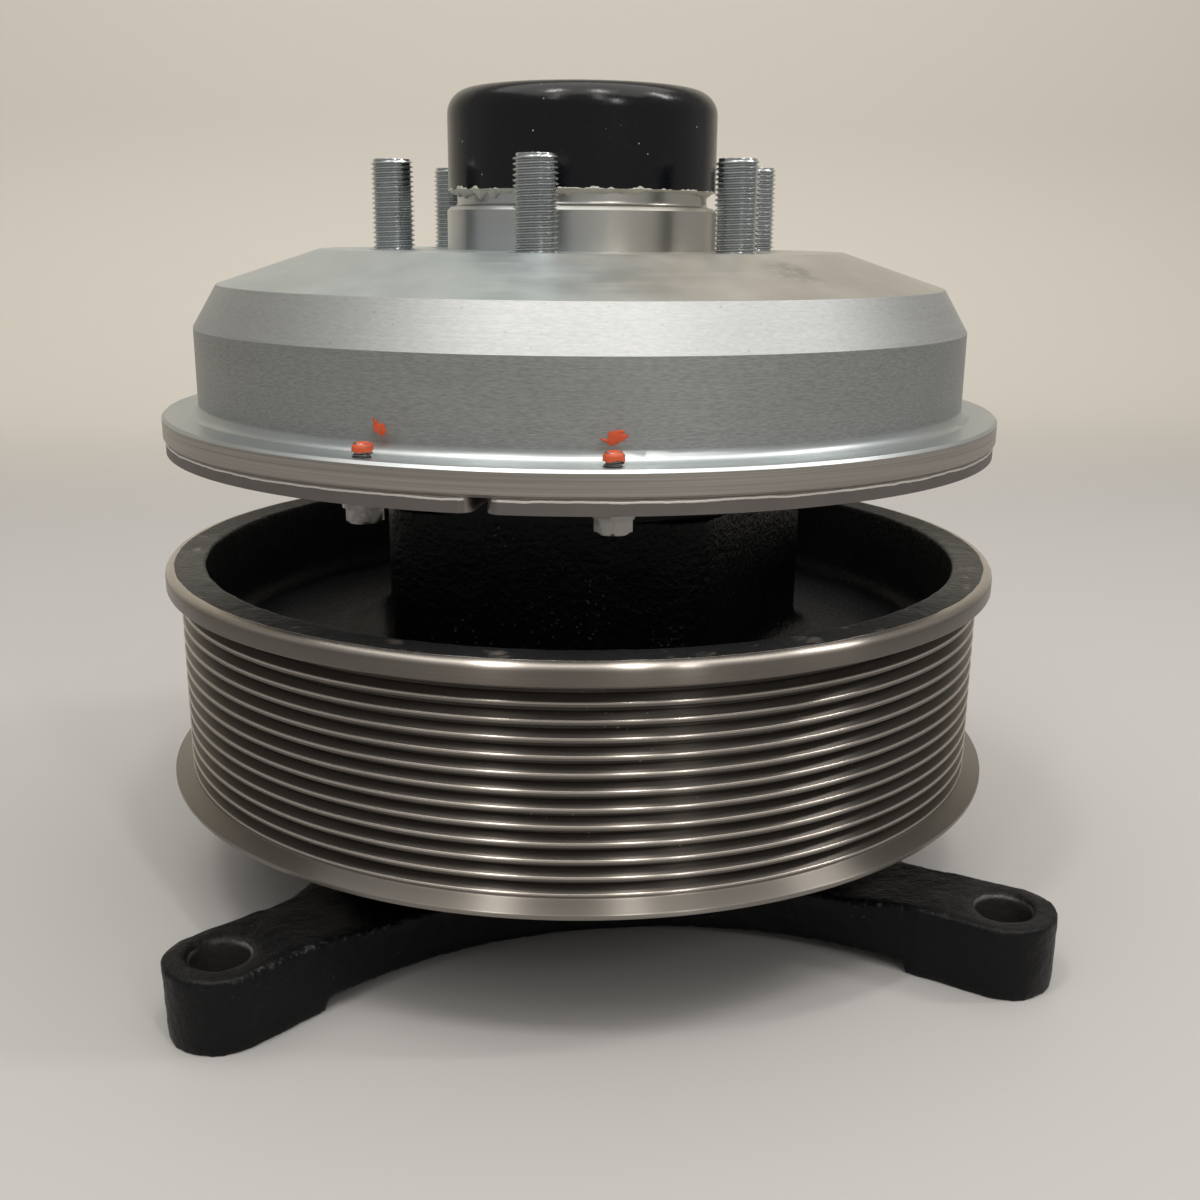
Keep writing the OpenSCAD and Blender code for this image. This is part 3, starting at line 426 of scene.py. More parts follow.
@dataclass(frozen=True)
class GroovedIron:
    """Bare turned iron of the grooved rim, with the cup's black paint lapped over the rim's top."""

    name: str = "grooved_iron"
    root_r: float = ROOT_R
    ridge_r: float = RIDGE_R
    top: float = 80.02 * MM
    top_paint_r: float = 98.2 * MM
    groove_top: float = 74.6 * MM
    groove_low: float = 31.9 * MM
    groove_pitch: float = GROOVE_PITCH

    def make(self) -> bpy.types.Material:
        """Builds the material."""
        r = Recipe(self.name)
        grain, coarse, blotch = r.rings(3200.0), r.noise(560.0, 4.0, 0.65), r.noise(38.0, 3.0)
        wander = r.times(r.math("SUBTRACT", r.noise(150.0, 3.0), 0.5), 0.7 * MM)
        paint = r.times(r.step(r.z, self.top - 0.14 * MM, self.top - 0.05 * MM),
                        r.step(r.math("ADD", r.r, wander), self.top_paint_r + 0.1 * MM,
                               self.top_paint_r - 0.1 * MM))
        grooved = r.band(r.z, self.groove_low, self.groove_top, 0.6 * MM)
        depth = r.times(r.step(r.r, self.ridge_r - 0.5 * MM, self.root_r - 0.1 * MM), grooved)
        deep = r.times(r.step(r.r, self.root_r + 0.9 * MM, self.root_r - 0.2 * MM), grooved)
        # Painted shade, with some grime: the groove roots are darkened where the grooves lie in shadow.
        groove_shade_and_grime = r.times(deep, r.lerp(r.step(blotch, 0.3, 0.7), 0.6, 0.9))
        lint = r.times(r.specks(520.0, 0.14), r.step(r.noise(70.0, 2.0), 0.55, 0.66), r.step(depth, 0.2, 0.5))
        above_ridge = r.math("SUBTRACT", r.z, self.groove_low - self.groove_pitch / 2)
        ridge = r.math("FRACT", r.math("DIVIDE", above_ridge, self.groove_pitch))
        tips = r.times(r.step(r.r, self.ridge_r - 0.3 * MM, self.ridge_r - 0.1 * MM),
                       r.step(ridge, 0.5, 0.56), grooved)
        edges = r.math("MAXIMUM", tips, r.times(r.step(r.z, self.top - 1.5 * MM, self.top - 0.5 * MM),
                                                r.step(r.r, self.top_paint_r - MM, self.top_paint_r)))
        bare = r.mix(r.lerp(0.35, grain, blotch), (0.13, 0.117, 0.104), (0.225, 0.205, 0.186))
        bare = r.mix(r.step(r.z, self.groove_low, self.groove_low - 0.5 * MM), bare, (0.25, 0.232, 0.21))
        bare = r.mix(edges, bare, (0.50, 0.462, 0.42))
        groove_shaded_iron = r.mix(groove_shade_and_grime, bare, (0.06, 0.052, 0.044))
        groove_shaded_iron = r.mix(r.times(lint, 0.8), groove_shaded_iron, (0.5, 0.47, 0.43))
        black = r.mix(blotch, (0.006, 0.0066, 0.0076), (0.012, 0.0125, 0.0136))
        turned = r.lerp(edges, r.lerp(grain, 0.31, 0.39), 0.27)
        r.set(Base_Color=r.mix(paint, groove_shaded_iron, black), Metallic=r.math("SUBTRACT", 1.0, paint),
              Roughness=r.lerp(paint, turned, r.lerp(coarse, 0.28, 0.52)), Specular_IOR_Level=0.18,
              Normal=r.bump(r.times(coarse, paint), 0.28 * MM, 0.9, r.bump(grain, 0.02 * MM, 0.6)))
        r.brush(0.98)
        return r.material


@dataclass(frozen=True)
class CupPaint:
    """Black paint on the grainy casting of the cup and hub column, dusty on the floor, with pale flecks."""

    name: str = "black_cup_paint"
    cup_floor: float = CUP_FLOOR
    column_reach: float = 59 * MM

    def make(self) -> bpy.types.Material:
        """Builds the material."""
        r = Recipe(self.name)
        coarse, fine, blotch = r.noise(760.0, 3.0, 0.6), r.noise(1900.0, 2.0), r.noise(38.0, 3.0)
        low = r.times(r.step(r.z, self.cup_floor + 6 * MM, self.cup_floor - 0.5 * MM),
                      r.step(r.z, self.cup_floor - 1.5 * MM, self.cup_floor - MM), r.step(coarse, 0.42, 0.75))
        black = r.mix(blotch, (0.02, 0.022, 0.0255), (0.04, 0.0425, 0.047))
        # Painted shade: the hub column gets a darker copy of the cup's paint.
        column = r.step(r.r, self.column_reach + MM, self.column_reach - MM)
        black = r.mix(column, black, (0.0016, 0.0018, 0.0021))
        black = r.mix(r.times(low, 0.3), black, (0.04, 0.037, 0.033))
        dust = r.times(r.specks(620.0, 0.2), r.step(r.noise(55.0, 3.0), 0.5, 0.62))
        r.set(Base_Color=r.mix(r.times(dust, 0.5), black, (0.16, 0.155, 0.15)),
              Roughness=r.lerp(coarse, 0.26, 0.46), Specular_IOR_Level=0.2,
              Normal=r.bump(fine, 0.08 * MM, 0.7, r.bump(coarse, 0.4 * MM, 1.0)))
        return r.material


@dataclass(frozen=True)
class ZincPlate:
    """Zinc plate on the turned bell: each band of the bell has its own grain, and its own brightness as
    painted light and shade.
    """

    name: str = "zinc_bell"
    flange_top: float = FLANGE_TOP
    wall_r: float = WALL_R
    wall_top: float = 134.32 * MM
    bevel_top: float = 143.62 * MM
    head_top: float = 151.42 * MM
    pilot_r: float = 31.75 * MM
    flange_r: float = 98.5 * MM
    smudge: Vector = Vector((34.5 * MM, -62 * MM, 148.3 * MM))
    scratch: Vector = Vector((23.6 * MM, -87.3 * MM, 131.5 * MM))

    def make(self) -> bpy.types.Material:
        """Builds the material."""
        r = Recipe(self.name)
        grain, fine = r.rings(2600.0), r.noise(1400.0, 3.0, 0.6)
        cloud, blotch = r.noise(22.0, 4.0, 0.6), r.noise(75.0, 4.0, 0.6)
        edge = 0.15 * MM
        wall = r.times(r.step(r.z, self.flange_top + 1.6 * MM, self.flange_top + 2.6 * MM),
                       r.step(r.z, self.wall_top, self.wall_top - edge),
                       r.step(r.r, self.wall_r - MM, self.wall_r))
        bevel = r.band(r.z, self.wall_top, self.bevel_top, edge)
        crown = r.step(r.z, self.bevel_top, self.bevel_top + edge)
        pilot = r.times(r.step(r.z, self.head_top, self.head_top + edge),
                        r.step(r.r, self.pilot_r + MM, self.pilot_r + 0.5 * MM))
        rim = r.times(r.step(r.z, self.flange_top - 0.5 * MM, self.flange_top - 0.7 * MM),
                      r.step(r.r, self.flange_r - 0.8 * MM, self.flange_r - 0.6 * MM))
        # Painted reflection: the crown and the pilot turn from bluish on the left to warm on the right.
        side_reflection_tone = r.step(r.lerp(0.5, r.step(r.x, -55 * MM, 50 * MM), cloud), 0.36, 0.62)
        sparkle = r.rings(3600.0, 620.0)
        lines = r.rings(1900.0, 9.0)
        # The bands are one zinc plate; their colours differ as painted light and shade, the bevel darker and
        # the crown lighter.
        flange = r.mix(blotch, (0.44, 0.49, 0.52), (0.58, 0.60, 0.59))
        rims = r.mix(r.step(lines, 0.3, 0.7), (0.31, 0.29, 0.268), (0.42, 0.398, 0.365))
        patchy = r.step(blotch, 0.2, 0.8)
        walls = r.mix(r.lerp(0.45, r.lerp(0.4, grain, cloud), r.step(sparkle, 0.3, 0.7)),
                      (0.23, 0.245, 0.246), (0.46, 0.47, 0.46))
        bevels = r.mix(r.lerp(0.4, r.lerp(0.5, grain, cloud), r.step(sparkle, 0.25, 0.75)),
                       (0.36, 0.372, 0.38), (0.53, 0.54, 0.54))
        crowns = r.mix(side_reflection_tone, r.mix(patchy, (0.49, 0.56, 0.59), (0.60, 0.66, 0.67)),
                       r.mix(patchy, (0.50, 0.48, 0.44), (0.60, 0.585, 0.545)))
        colour = r.mix(wall, r.mix(rim, flange, rims), walls)
        colour = r.mix(bevel, colour, bevels)
        colour = r.mix(crown, colour, crowns)
        colour = r.mix(pilot, colour, r.mix(side_reflection_tone, (0.52, 0.54, 0.55), (0.54, 0.525, 0.49)))
        dots = r.times(r.specks(520.0, 0.15), r.step(fine, 0.5, 0.62), bevel)
        colour = r.mix(r.times(dots, 0.55), colour, (0.24, 0.24, 0.25))
        smoke = r.noise(260.0, 4.0, 0.65)
        smudge = r.times(r.near(self.smudge, 1.5 * MM, 8.5 * MM), r.step(smoke, 0.34, 0.62))
        colour = r.mix(r.times(smudge, 0.6), colour, (0.2, 0.19, 0.18))
        mark = r.times(r.near(self.scratch, 0.4 * MM, 2.4 * MM), r.step(grain, 0.5, 0.62))
        colour = r.mix(r.times(mark, 0.35), colour, (0.66, 0.67, 0.68))
        spread = r.lerp(grain, -0.05, 0.08)
        rough = r.lerp(wall, 0.38, 0.5)
        rough = r.lerp(bevel, rough, 0.54)
        rough = r.lerp(crown, rough, r.lerp(blotch, 0.3, 0.42))
        rough = r.lerp(pilot, rough, 0.3)
        r.set(Base_Color=colour, Metallic=1.0, Roughness=r.math("ADD", rough, spread),
              Normal=r.bump(fine, 0.012 * MM, 0.5, r.bump(grain, 0.02 * MM, 0.7)))
        r.brush(0.2)
        return r.material


@dataclass(frozen=True)
class ZincFastener:
    """Zinc on threads and hexagons, with dull spots, and painted shade with grime in the thread roots and low
    down.
    """

    name: str
    dull: Colour = (0.62, 0.66, 0.675)
    bright: Colour = (0.86, 0.885, 0.885)
    shade_and_grime: float = 0.0
    shade_and_grime_below: float = 110 * MM

    def make(self) -> bpy.types.Material:
        """Builds the material."""
        r = Recipe(self.name)
        blotch, fine = r.noise(160.0, 4.0, 0.6), r.noise(2400.0, 2.0)
        plated = r.mix(blotch, self.dull, self.bright)
        patchy = r.lerp(r.step(blotch, 0.4, 0.6), min(1.0, 1.3 * self.shade_and_grime), 0.6 * self.shade_and_grime)
        # Painted shade, with grime: the parts below the given height are darkened against the light from the
        # floor below.
        head_shade_and_grime = r.times(r.step(r.z, self.shade_and_grime_below + MM, self.shade_and_grime_below), patchy)
        plated = r.mix(head_shade_and_grime, plated, (0.10, 0.095, 0.088))
        # Painted shade, with dirt: the thread roots are darkened.
        plated = r.mix(r.times(r.attribute(THREAD_ROOT), 0.45), plated, (0.13, 0.14, 0.148))
        dots = r.times(r.step(fine, 0.55, 0.8), 0.35)
        r.set(Base_Color=r.mix(dots, plated, (0.16, 0.16, 0.155)), Metallic=1.0,
              Roughness=r.lerp(blotch, 0.17, 0.3), Normal=r.bump(fine, 0.015 * MM, 0.5))
        return r.material


@dataclass(frozen=True)
class StampedPlate:
    """Dull plated sheet: burnished where the punch cut it, torn below."""

    name: str = "stamped_plate"
    under: float = 106.82 * MM
    edge_r: float = 97.6 * MM

    def make(self) -> bpy.types.Material:
        """Builds the material."""
        r = Recipe(self.name)
        blotch, fine = r.noise(90.0, 4.0, 0.6), r.noise(1900.0, 2.0)
        face = r.mix(blotch, (0.20, 0.183, 0.171), (0.33, 0.305, 0.29))
        outside = r.step(r.r, self.edge_r - 0.4 * MM, self.edge_r)
        level = r.math("ADD", r.z, r.times(r.noise(120.0, 4.0, 0.6), 0.9 * MM))
        torn = r.times(outside, r.step(level, self.under + 2.85 * MM, self.under + 2.65 * MM))
        burr = r.times(outside, r.band(level, self.under + 2.75 * MM, self.under + 3.1 * MM, 0.2 * MM))
        colour = r.mix(r.times(torn, 0.5), face, (0.12, 0.11, 0.105))
        r.set(Base_Color=r.mix(r.times(burr, 0.95), colour, (0.80, 0.78, 0.74)), Metallic=1.0,
              Roughness=r.lerp(torn, r.lerp(blotch, 0.34, 0.48), 0.55),
              Normal=r.bump(fine, 0.02 * MM, 0.6, r.bump(burr, 0.12 * MM, 0.8)))
        return r.material


@dataclass(frozen=True)
class GlossBlack:
    """Glossy black coat on the end cap, with a few specks of dust and faint rubs."""

    name: str = "gloss_black_cap"

    def make(self) -> bpy.types.Material:
        """Builds the material."""
        r = Recipe(self.name)
        peel, blotch, rub = r.noise(620.0, 3.0, 0.6), r.noise(55.0, 4.0, 0.6), r.noise(900.0, 3.0, 0.7)
        dust = r.times(r.specks(300.0, 0.075), r.step(blotch, 0.52, 0.6))
        black = r.mix(blotch, (0.0016, 0.002, 0.0034), (0.0042, 0.0048, 0.0072))
        r.set(Base_Color=r.mix(r.times(dust, 0.8), black, (0.5, 0.49, 0.47)),
              Roughness=r.lerp(r.step(rub, 0.5, 0.75), 0.2, 0.32), Specular_IOR_Level=0.34,
              Normal=r.bump(peel, 0.06 * MM, 0.6))
        return r.material


@dataclass(frozen=True)
class CuredSealant:
    """Translucent grey-beige sealant."""

    name: str = "cured_sealant"

    def make(self) -> bpy.types.Material:
        """Builds the material."""
        r = Recipe(self.name)
        blotch, fine = r.noise(260.0, 4.0, 0.6), r.noise(1500.0, 2.0)
        r.set(Base_Color=r.mix(blotch, (0.34, 0.31, 0.26), (0.66, 0.63, 0.56)),
              Roughness=r.lerp(fine, 0.35, 0.55), Subsurface_Weight=0.25, Subsurface_Scale=2 * MM,
              Normal=r.bump(fine, 0.05 * MM, 0.6))
        return r.material


@dataclass(frozen=True)
class WitnessPaint:
    """Orange marking paint, thin at its edges."""

    name: str = "witness_paint"

    def make(self) -> bpy.types.Material:
        """Builds the material."""
        r = Recipe(self.name)
        blotch, fine = r.noise(700.0, 3.0, 0.6), r.noise(2600.0, 2.0)
        r.set(Base_Color=r.mix(blotch, (0.52, 0.06, 0.018), (0.70, 0.125, 0.042)),
              Roughness=r.lerp(fine, 0.35, 0.55), Normal=r.bump(fine, 0.03 * MM, 0.6))
        return r.material


@dataclass(frozen=True)
class SealRubber:
    """Matt black rubber."""

    name: str = "seal_rubber_black"

    def make(self) -> bpy.types.Material:
        """Builds the material."""
        r = Recipe(self.name)
        fine = r.noise(1200.0, 3.0)
        r.set(Base_Color=r.mix(fine, (0.012, 0.012, 0.012), (0.03, 0.03, 0.03)),
              Roughness=r.lerp(fine, 0.55, 0.75), Normal=r.bump(fine, 0.03 * MM, 0.5))
        return r.material


def new_piece(name: str, mesh: bpy.types.Mesh, material: bpy.types.Material, body: Body,
              stands_for: Iterable[str] = ()) -> None:
    """Puts a made mesh into the scene as a piece of the object.

    Args:
        name: The piece's name.
        mesh: Its mesh, in the part's frame.
        material: Its finish.
        body: The body it moves with.
        stands_for: CAD nodes that it replaces.
    """
    mesh.materials.clear()
    mesh.materials.append(material)
    piece = bpy.data.objects.new(name, mesh)
    bpy.context.scene.collection.objects.link(piece)
    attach(piece, body.value)
    if stands_for:
        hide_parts(*stands_for)
    LOG.info("%s: %d faces on %s", name, len(mesh.polygons), body.value)


def mesh_from(bm: bmesh.types.BMesh, name: str, sharp: float = 35.0) -> bpy.types.Mesh:
    """Closes a bmesh into a mesh with smooth faces.

    Args:
        bm: What was built; it is freed.
        name: The mesh's name.
        sharp: Edges above this angle in degrees stay sharp.

    Returns:
        The mesh.
    """
    bmesh.ops.remove_doubles(bm, verts=bm.verts, dist=0.002 * MM)
    bmesh.ops.dissolve_degenerate(bm, edges=bm.edges, dist=0.001 * MM)
    bmesh.ops.recalc_face_normals(bm, faces=bm.faces)
    mesh = bpy.data.meshes.new(name)
    bm.to_mesh(mesh)
    bm.free()
    mesh.shade_smooth()
    mesh.set_sharp_from_angle(angle=math.radians(sharp))
    return mesh


def skin(bm: bmesh.types.BMesh, rings: Sequence[Ring], closed: bool = False) -> None:
    """Joins each ring of points to the next one with faces.

    Args:
        bm: Where the faces go.
        rings: The rings, all with the same number of points.
        closed: Whether the last ring joins the first one.
    """
    following = [*rings[1:], rings[0]] if closed else rings[1:]
    for here, there in zip(rings, following):
        for i in range(len(here)):
            j = (i + 1) % len(here)
            bm.faces.new((here[i], there[i], there[j], here[j]))


def lathe(bm: bmesh.types.BMesh, section: Callable[[float], Profile], segments: int) -> None:
    """Turns a closed section round the shaft; the section may change from angle to angle.

    Args:
        bm: Where the faces go.
        section: Gives the section's (radius, height) points at an angle in degrees.
        segments: Steps round the shaft.
    """
    loops = []
    for k in range(segments):
        angle = 360.0 * k / segments
        loops.append([bm.verts.new(round_shaft(angle, radius, height)) for radius, height in section(angle)])
    skin(bm, loops, closed=True)


@dataclass(frozen=True)
class Corner:
    """A corner of a turned section, and how the line goes on from it."""

    radius: float
    height: float
    fillet: float = 0.0
    cuts: int = 0


def trace(corners: Sequence[Corner], arc_steps: int = 4) -> list[tuple[float, float]]:
    """Follows a closed section, rounding its corners and cutting its straight runs.

    Args:
        corners: The section's corners in order.
        arc_steps: Steps on each rounded corner.

    Returns:
        The section's (radius, height) points.
    """
    spots = [Vector((c.radius, c.height)) for c in corners]
    count, points = len(corners), []
    arcs: list[list[Vector]] = []
    for k, corner in enumerate(corners):
        here, before, after = spots[k], spots[k - 1] - spots[k], spots[(k + 1) % count] - spots[k]
        if corner.fillet <= 0:
            arcs.append([here])
        else:
            before, after = before.normalized(), after.normalized()
            half = before.angle(after) / 2
            middle = here + (before + after).normalized() * (corner.fillet / math.sin(half))
            start = here + before * (corner.fillet / math.tan(half)) - middle
            end = here + after * (corner.fillet / math.tan(half)) - middle
            turn = start.angle(end)
            arcs.append([])
            for t in range(arc_steps + 1):
                share = t / arc_steps
                swung = start * math.sin(turn * (1 - share)) + end * math.sin(turn * share)
                arcs[-1].append(middle + swung / math.sin(turn))
    for k, corner in enumerate(corners):
        points += arcs[k]
        start, end = arcs[k][-1], arcs[(k + 1) % count][0]
        points += [start.lerp(end, (i + 1) / (corner.cuts + 1)) for i in range(corner.cuts)]
    return [(point.x, point.y) for point in points]


def read_points(mesh: bpy.types.Mesh, what: str) -> np.ndarray:
    """Reads a vector of each of a mesh's points.

    Args:
        mesh: The mesh.
        what: Blender's name of the vector, "co" or "normal".

    Returns:
        One row per point.
    """
    values = np.empty(len(mesh.vertices) * 3)
    mesh.vertices.foreach_get(what, values)
    return values.reshape(-1, 3)


def roughen(mesh: bpy.types.Mesh, depth: float, lump: float,
            where: Callable[[Vector], bool] | None = None) -> None:
    """Moves a mesh's points along their normals, as sand leaves a casting.

    Args:
        mesh: The mesh to roughen.
        depth: Height of the lumps.
        lump: Their size.
        where: Tells which points are cast; all of them by default.
    """
    spots, normals = read_points(mesh, "co"), read_points(mesh, "normal")
    relief = np.zeros(len(spots))
    for k, spot in enumerate(spots):
        at = Vector(spot)
        if where is None or where(at):
            at /= lump
            relief[k] = noise.noise(at) + 0.6 * noise.noise(at * 3.7) + 0.35 * noise.noise(at * 8.3)
    mesh.vertices.foreach_set("co", (spots + normals * (depth * relief)[:, None]).ravel())
    mesh.update()


@dataclass(frozen=True)
class Thread:
    """A rolled screw thread along an upright rod."""

    radius: float
    pitch: float
    chamfer: float
    segments: int = 30

    ROWS = ((0.0, 0.0), (0.125, 0.0), (0.4375, 1.0), (0.6875, 1.0))
    DEPTH_SHARE = 0.6134

    def build(self, bm: bmesh.types.BMesh, at: Vector, top: float) -> None:
        """Adds one threaded rod, closed at both ends.

        Args:
            bm: Where the faces go.
            at: The rod's lower end.
            top: Height of its upper end.
        """
        depth, rows, end_r = self.DEPTH_SHARE * self.pitch, len(self.ROWS), self.radius - self.chamfer
        turns = math.ceil((top - at.z) / self.pitch) + 3
        root = bm.verts.layers.float.get(THREAD_ROOT) or bm.verts.layers.float.new(THREAD_ROOT)
        grid = []
        for row in range(rows * turns):
            share, down = self.ROWS[row % rows]
            ring = []
            for i in range(self.segments):
                rise = (row // rows + share + i / self.segments - 1.5) * self.pitch
                height = min(max(at.z + rise, at.z), top)
                reach = min(self.radius - depth * down, end_r + min(top - height, height - at.z))
                a = math.tau * i / self.segments
                spot = bm.verts.new((at.x + reach * math.cos(a), at.y + reach * math.sin(a), height))
                spot[root] = down
                ring.append(spot)
            grid.append(ring)
        for row in range(len(grid) - rows - 1):
            for i in range(self.segments):
                lap = 0 if i + 1 < self.segments else rows
                j = (i + 1) % self.segments
                bm.faces.new((grid[row][i], grid[row + lap][j], grid[row + lap + 1][j], grid[row + 1][i]))
        for height in (at.z, top):
            rim = []
            for i in range(self.segments):
                a = math.tau * i / self.segments
                rim.append(bm.verts.new((at.x + end_r * math.cos(a), at.y + end_r * math.sin(a), height)))
            bm.faces.new(rim)


@dataclass
class Bracket:
    """The footed casting that carries the drive; its feet end round and draw in a little downwards."""

    grain: float = 1.0 * MM
    roughness: float = 0.2 * MM
    lump: float = 9 * MM
    softening: int = 5
    foot_at: float = FOOT_AT
    foot_top: float = FOOT_TOP
    blunt_r: float = 15.2 * MM
    arm_half: float = 12.5 * MM
    foot_r: float = 11.3 * MM
    waist_half: float = 8.9 * MM
    hole_land: float = 7.2 * MM
    draft: float = 0.4 * MM
    waist_run: tuple[float, ...] = (-44 * MM, -20 * MM, -12 * MM, 0.0)
    side_run: tuple[float, ...] = (-14 * MM, 0.0)
    draft_run: tuple[float, ...] = (-30 * MM, -10 * MM)
    worn_stand: float = 0.16 * MM

    def build(self, nodes: dict[str, bpy.types.Object]) -> None:
        """Makes the rough casting from the node's solid and dresses it.

        Args:
            nodes: The CAD nodes by name.
        """
        source = bpy.data.objects.new("casting_source", nodes["mounting_bracket"].data.copy())
        bpy.context.scene.collection.objects.link(source)
        remesh = source.modifiers.new("remesh", "REMESH")
        remesh.mode, remesh.voxel_size = "VOXEL", self.grain
        smooth = source.modifiers.new("smooth", "SMOOTH")
        smooth.factor, smooth.iterations = 0.5, self.softening
        shape = source.evaluated_get(bpy.context.evaluated_depsgraph_get())
        mesh = bpy.data.meshes.new_from_object(shape)
        bpy.data.objects.remove(source)
        self.round_feet(mesh)
        self.mark_edges(mesh)
        roughen(mesh, self.roughness, self.lump)
        self.mill_feet(mesh)
        mesh.shade_smooth()
        new_piece("bracket_casting", mesh, CastPaint().make(), Body.BRACKET,
                  ["mounting_bracket"])

    def mill_feet(self, mesh: bpy.types.Mesh) -> None:
        """Cuts off what the sand left below the feet's flat face."""
        for point in mesh.vertices:
            point.co.z = max(point.co.z, 0.0)

    def round_feet(self, mesh: bpy.types.Mesh) -> None:
        """Draws the arms' blunt ends in to round feet about their holes, with a waist on the outer side.

        Args:
            mesh: The casting with blunt ends.
        """
        spots, tiny = read_points(mesh, "co"), 0.01 * MM
        reach = (np.abs(spots[:, 0]) + np.abs(spots[:, 1])) / math.sqrt(2)
        aside = (np.abs(spots[:, 1]) - np.abs(spots[:, 0])) / math.sqrt(2)
        past = reach - math.sqrt(2) * self.foot_at
        beyond = np.maximum(past, 0.0)
        out = np.maximum(np.hypot(beyond, aside), tiny)
        end = np.minimum(self.blunt_r, self.arm_half * out / np.maximum(np.abs(aside), tiny))
        waist = (self.arm_half, self.waist_half, self.waist_half, self.foot_r)
        behind = np.interp(past, self.waist_run, waist)
        beside = np.interp(past, self.side_run, (self.arm_half, self.foot_r))
        wanted = np.where(aside < 0, behind, beside)
        taper = np.interp(past, self.draft_run, (0.0, self.draft))
        wanted -= taper * np.clip(1 - spots[:, 2] / self.foot_top, 0.0, 1.0)
        drawn = self.hole_land + (out - self.hole_land) * (wanted - self.hole_land) / (end - self.hole_land)
        share = np.where(out > self.hole_land, drawn / out, 1.0)
        reach = np.where(past > 0, reach - beyond * (1 - share), reach)
        aside *= share
        for axis, side in ((0, -1), (1, 1)):
            spots[:, axis] = np.copysign((reach + side * aside) / math.sqrt(2), spots[:, axis])
        mesh.vertices.foreach_set("co", spots.ravel())
        mesh.update()

    def mark_edges(self, mesh: bpy.types.Mesh) -> None:
        """Notes at each point how far it stands out over its neighbours, for the rubbed edges.

        Args:
            mesh: The smooth casting.
        """
        spots, normals = read_points(mesh, "co"), read_points(mesh, "normal")
        count = len(spots)
        pairs = np.empty(len(mesh.edges) * 2, dtype=np.int32)
        mesh.edges.foreach_get("vertices", pairs)
        pairs = np.concatenate((pairs.reshape(-1, 2), pairs.reshape(-1, 2)[:, ::-1]))
        share = np.bincount(pairs[:, 0], minlength=count).clip(1)
        over = np.einsum("ij,ij->i", normals[pairs[:, 0]], spots[pairs[:, 0]] - spots[pairs[:, 1]])
        stand = np.bincount(pairs[:, 0], weights=over, minlength=count) / share
        for _ in range(2):
            around = np.bincount(pairs[:, 0], weights=stand[pairs[:, 1]], minlength=count) / share
            stand = 0.5 * stand + 0.5 * around
        wear = mesh.attributes.new(EDGE_WEAR, "FLOAT", "POINT")
        wear.data.foreach_set("value", np.clip(stand / self.worn_stand, 0.0, 1.0))


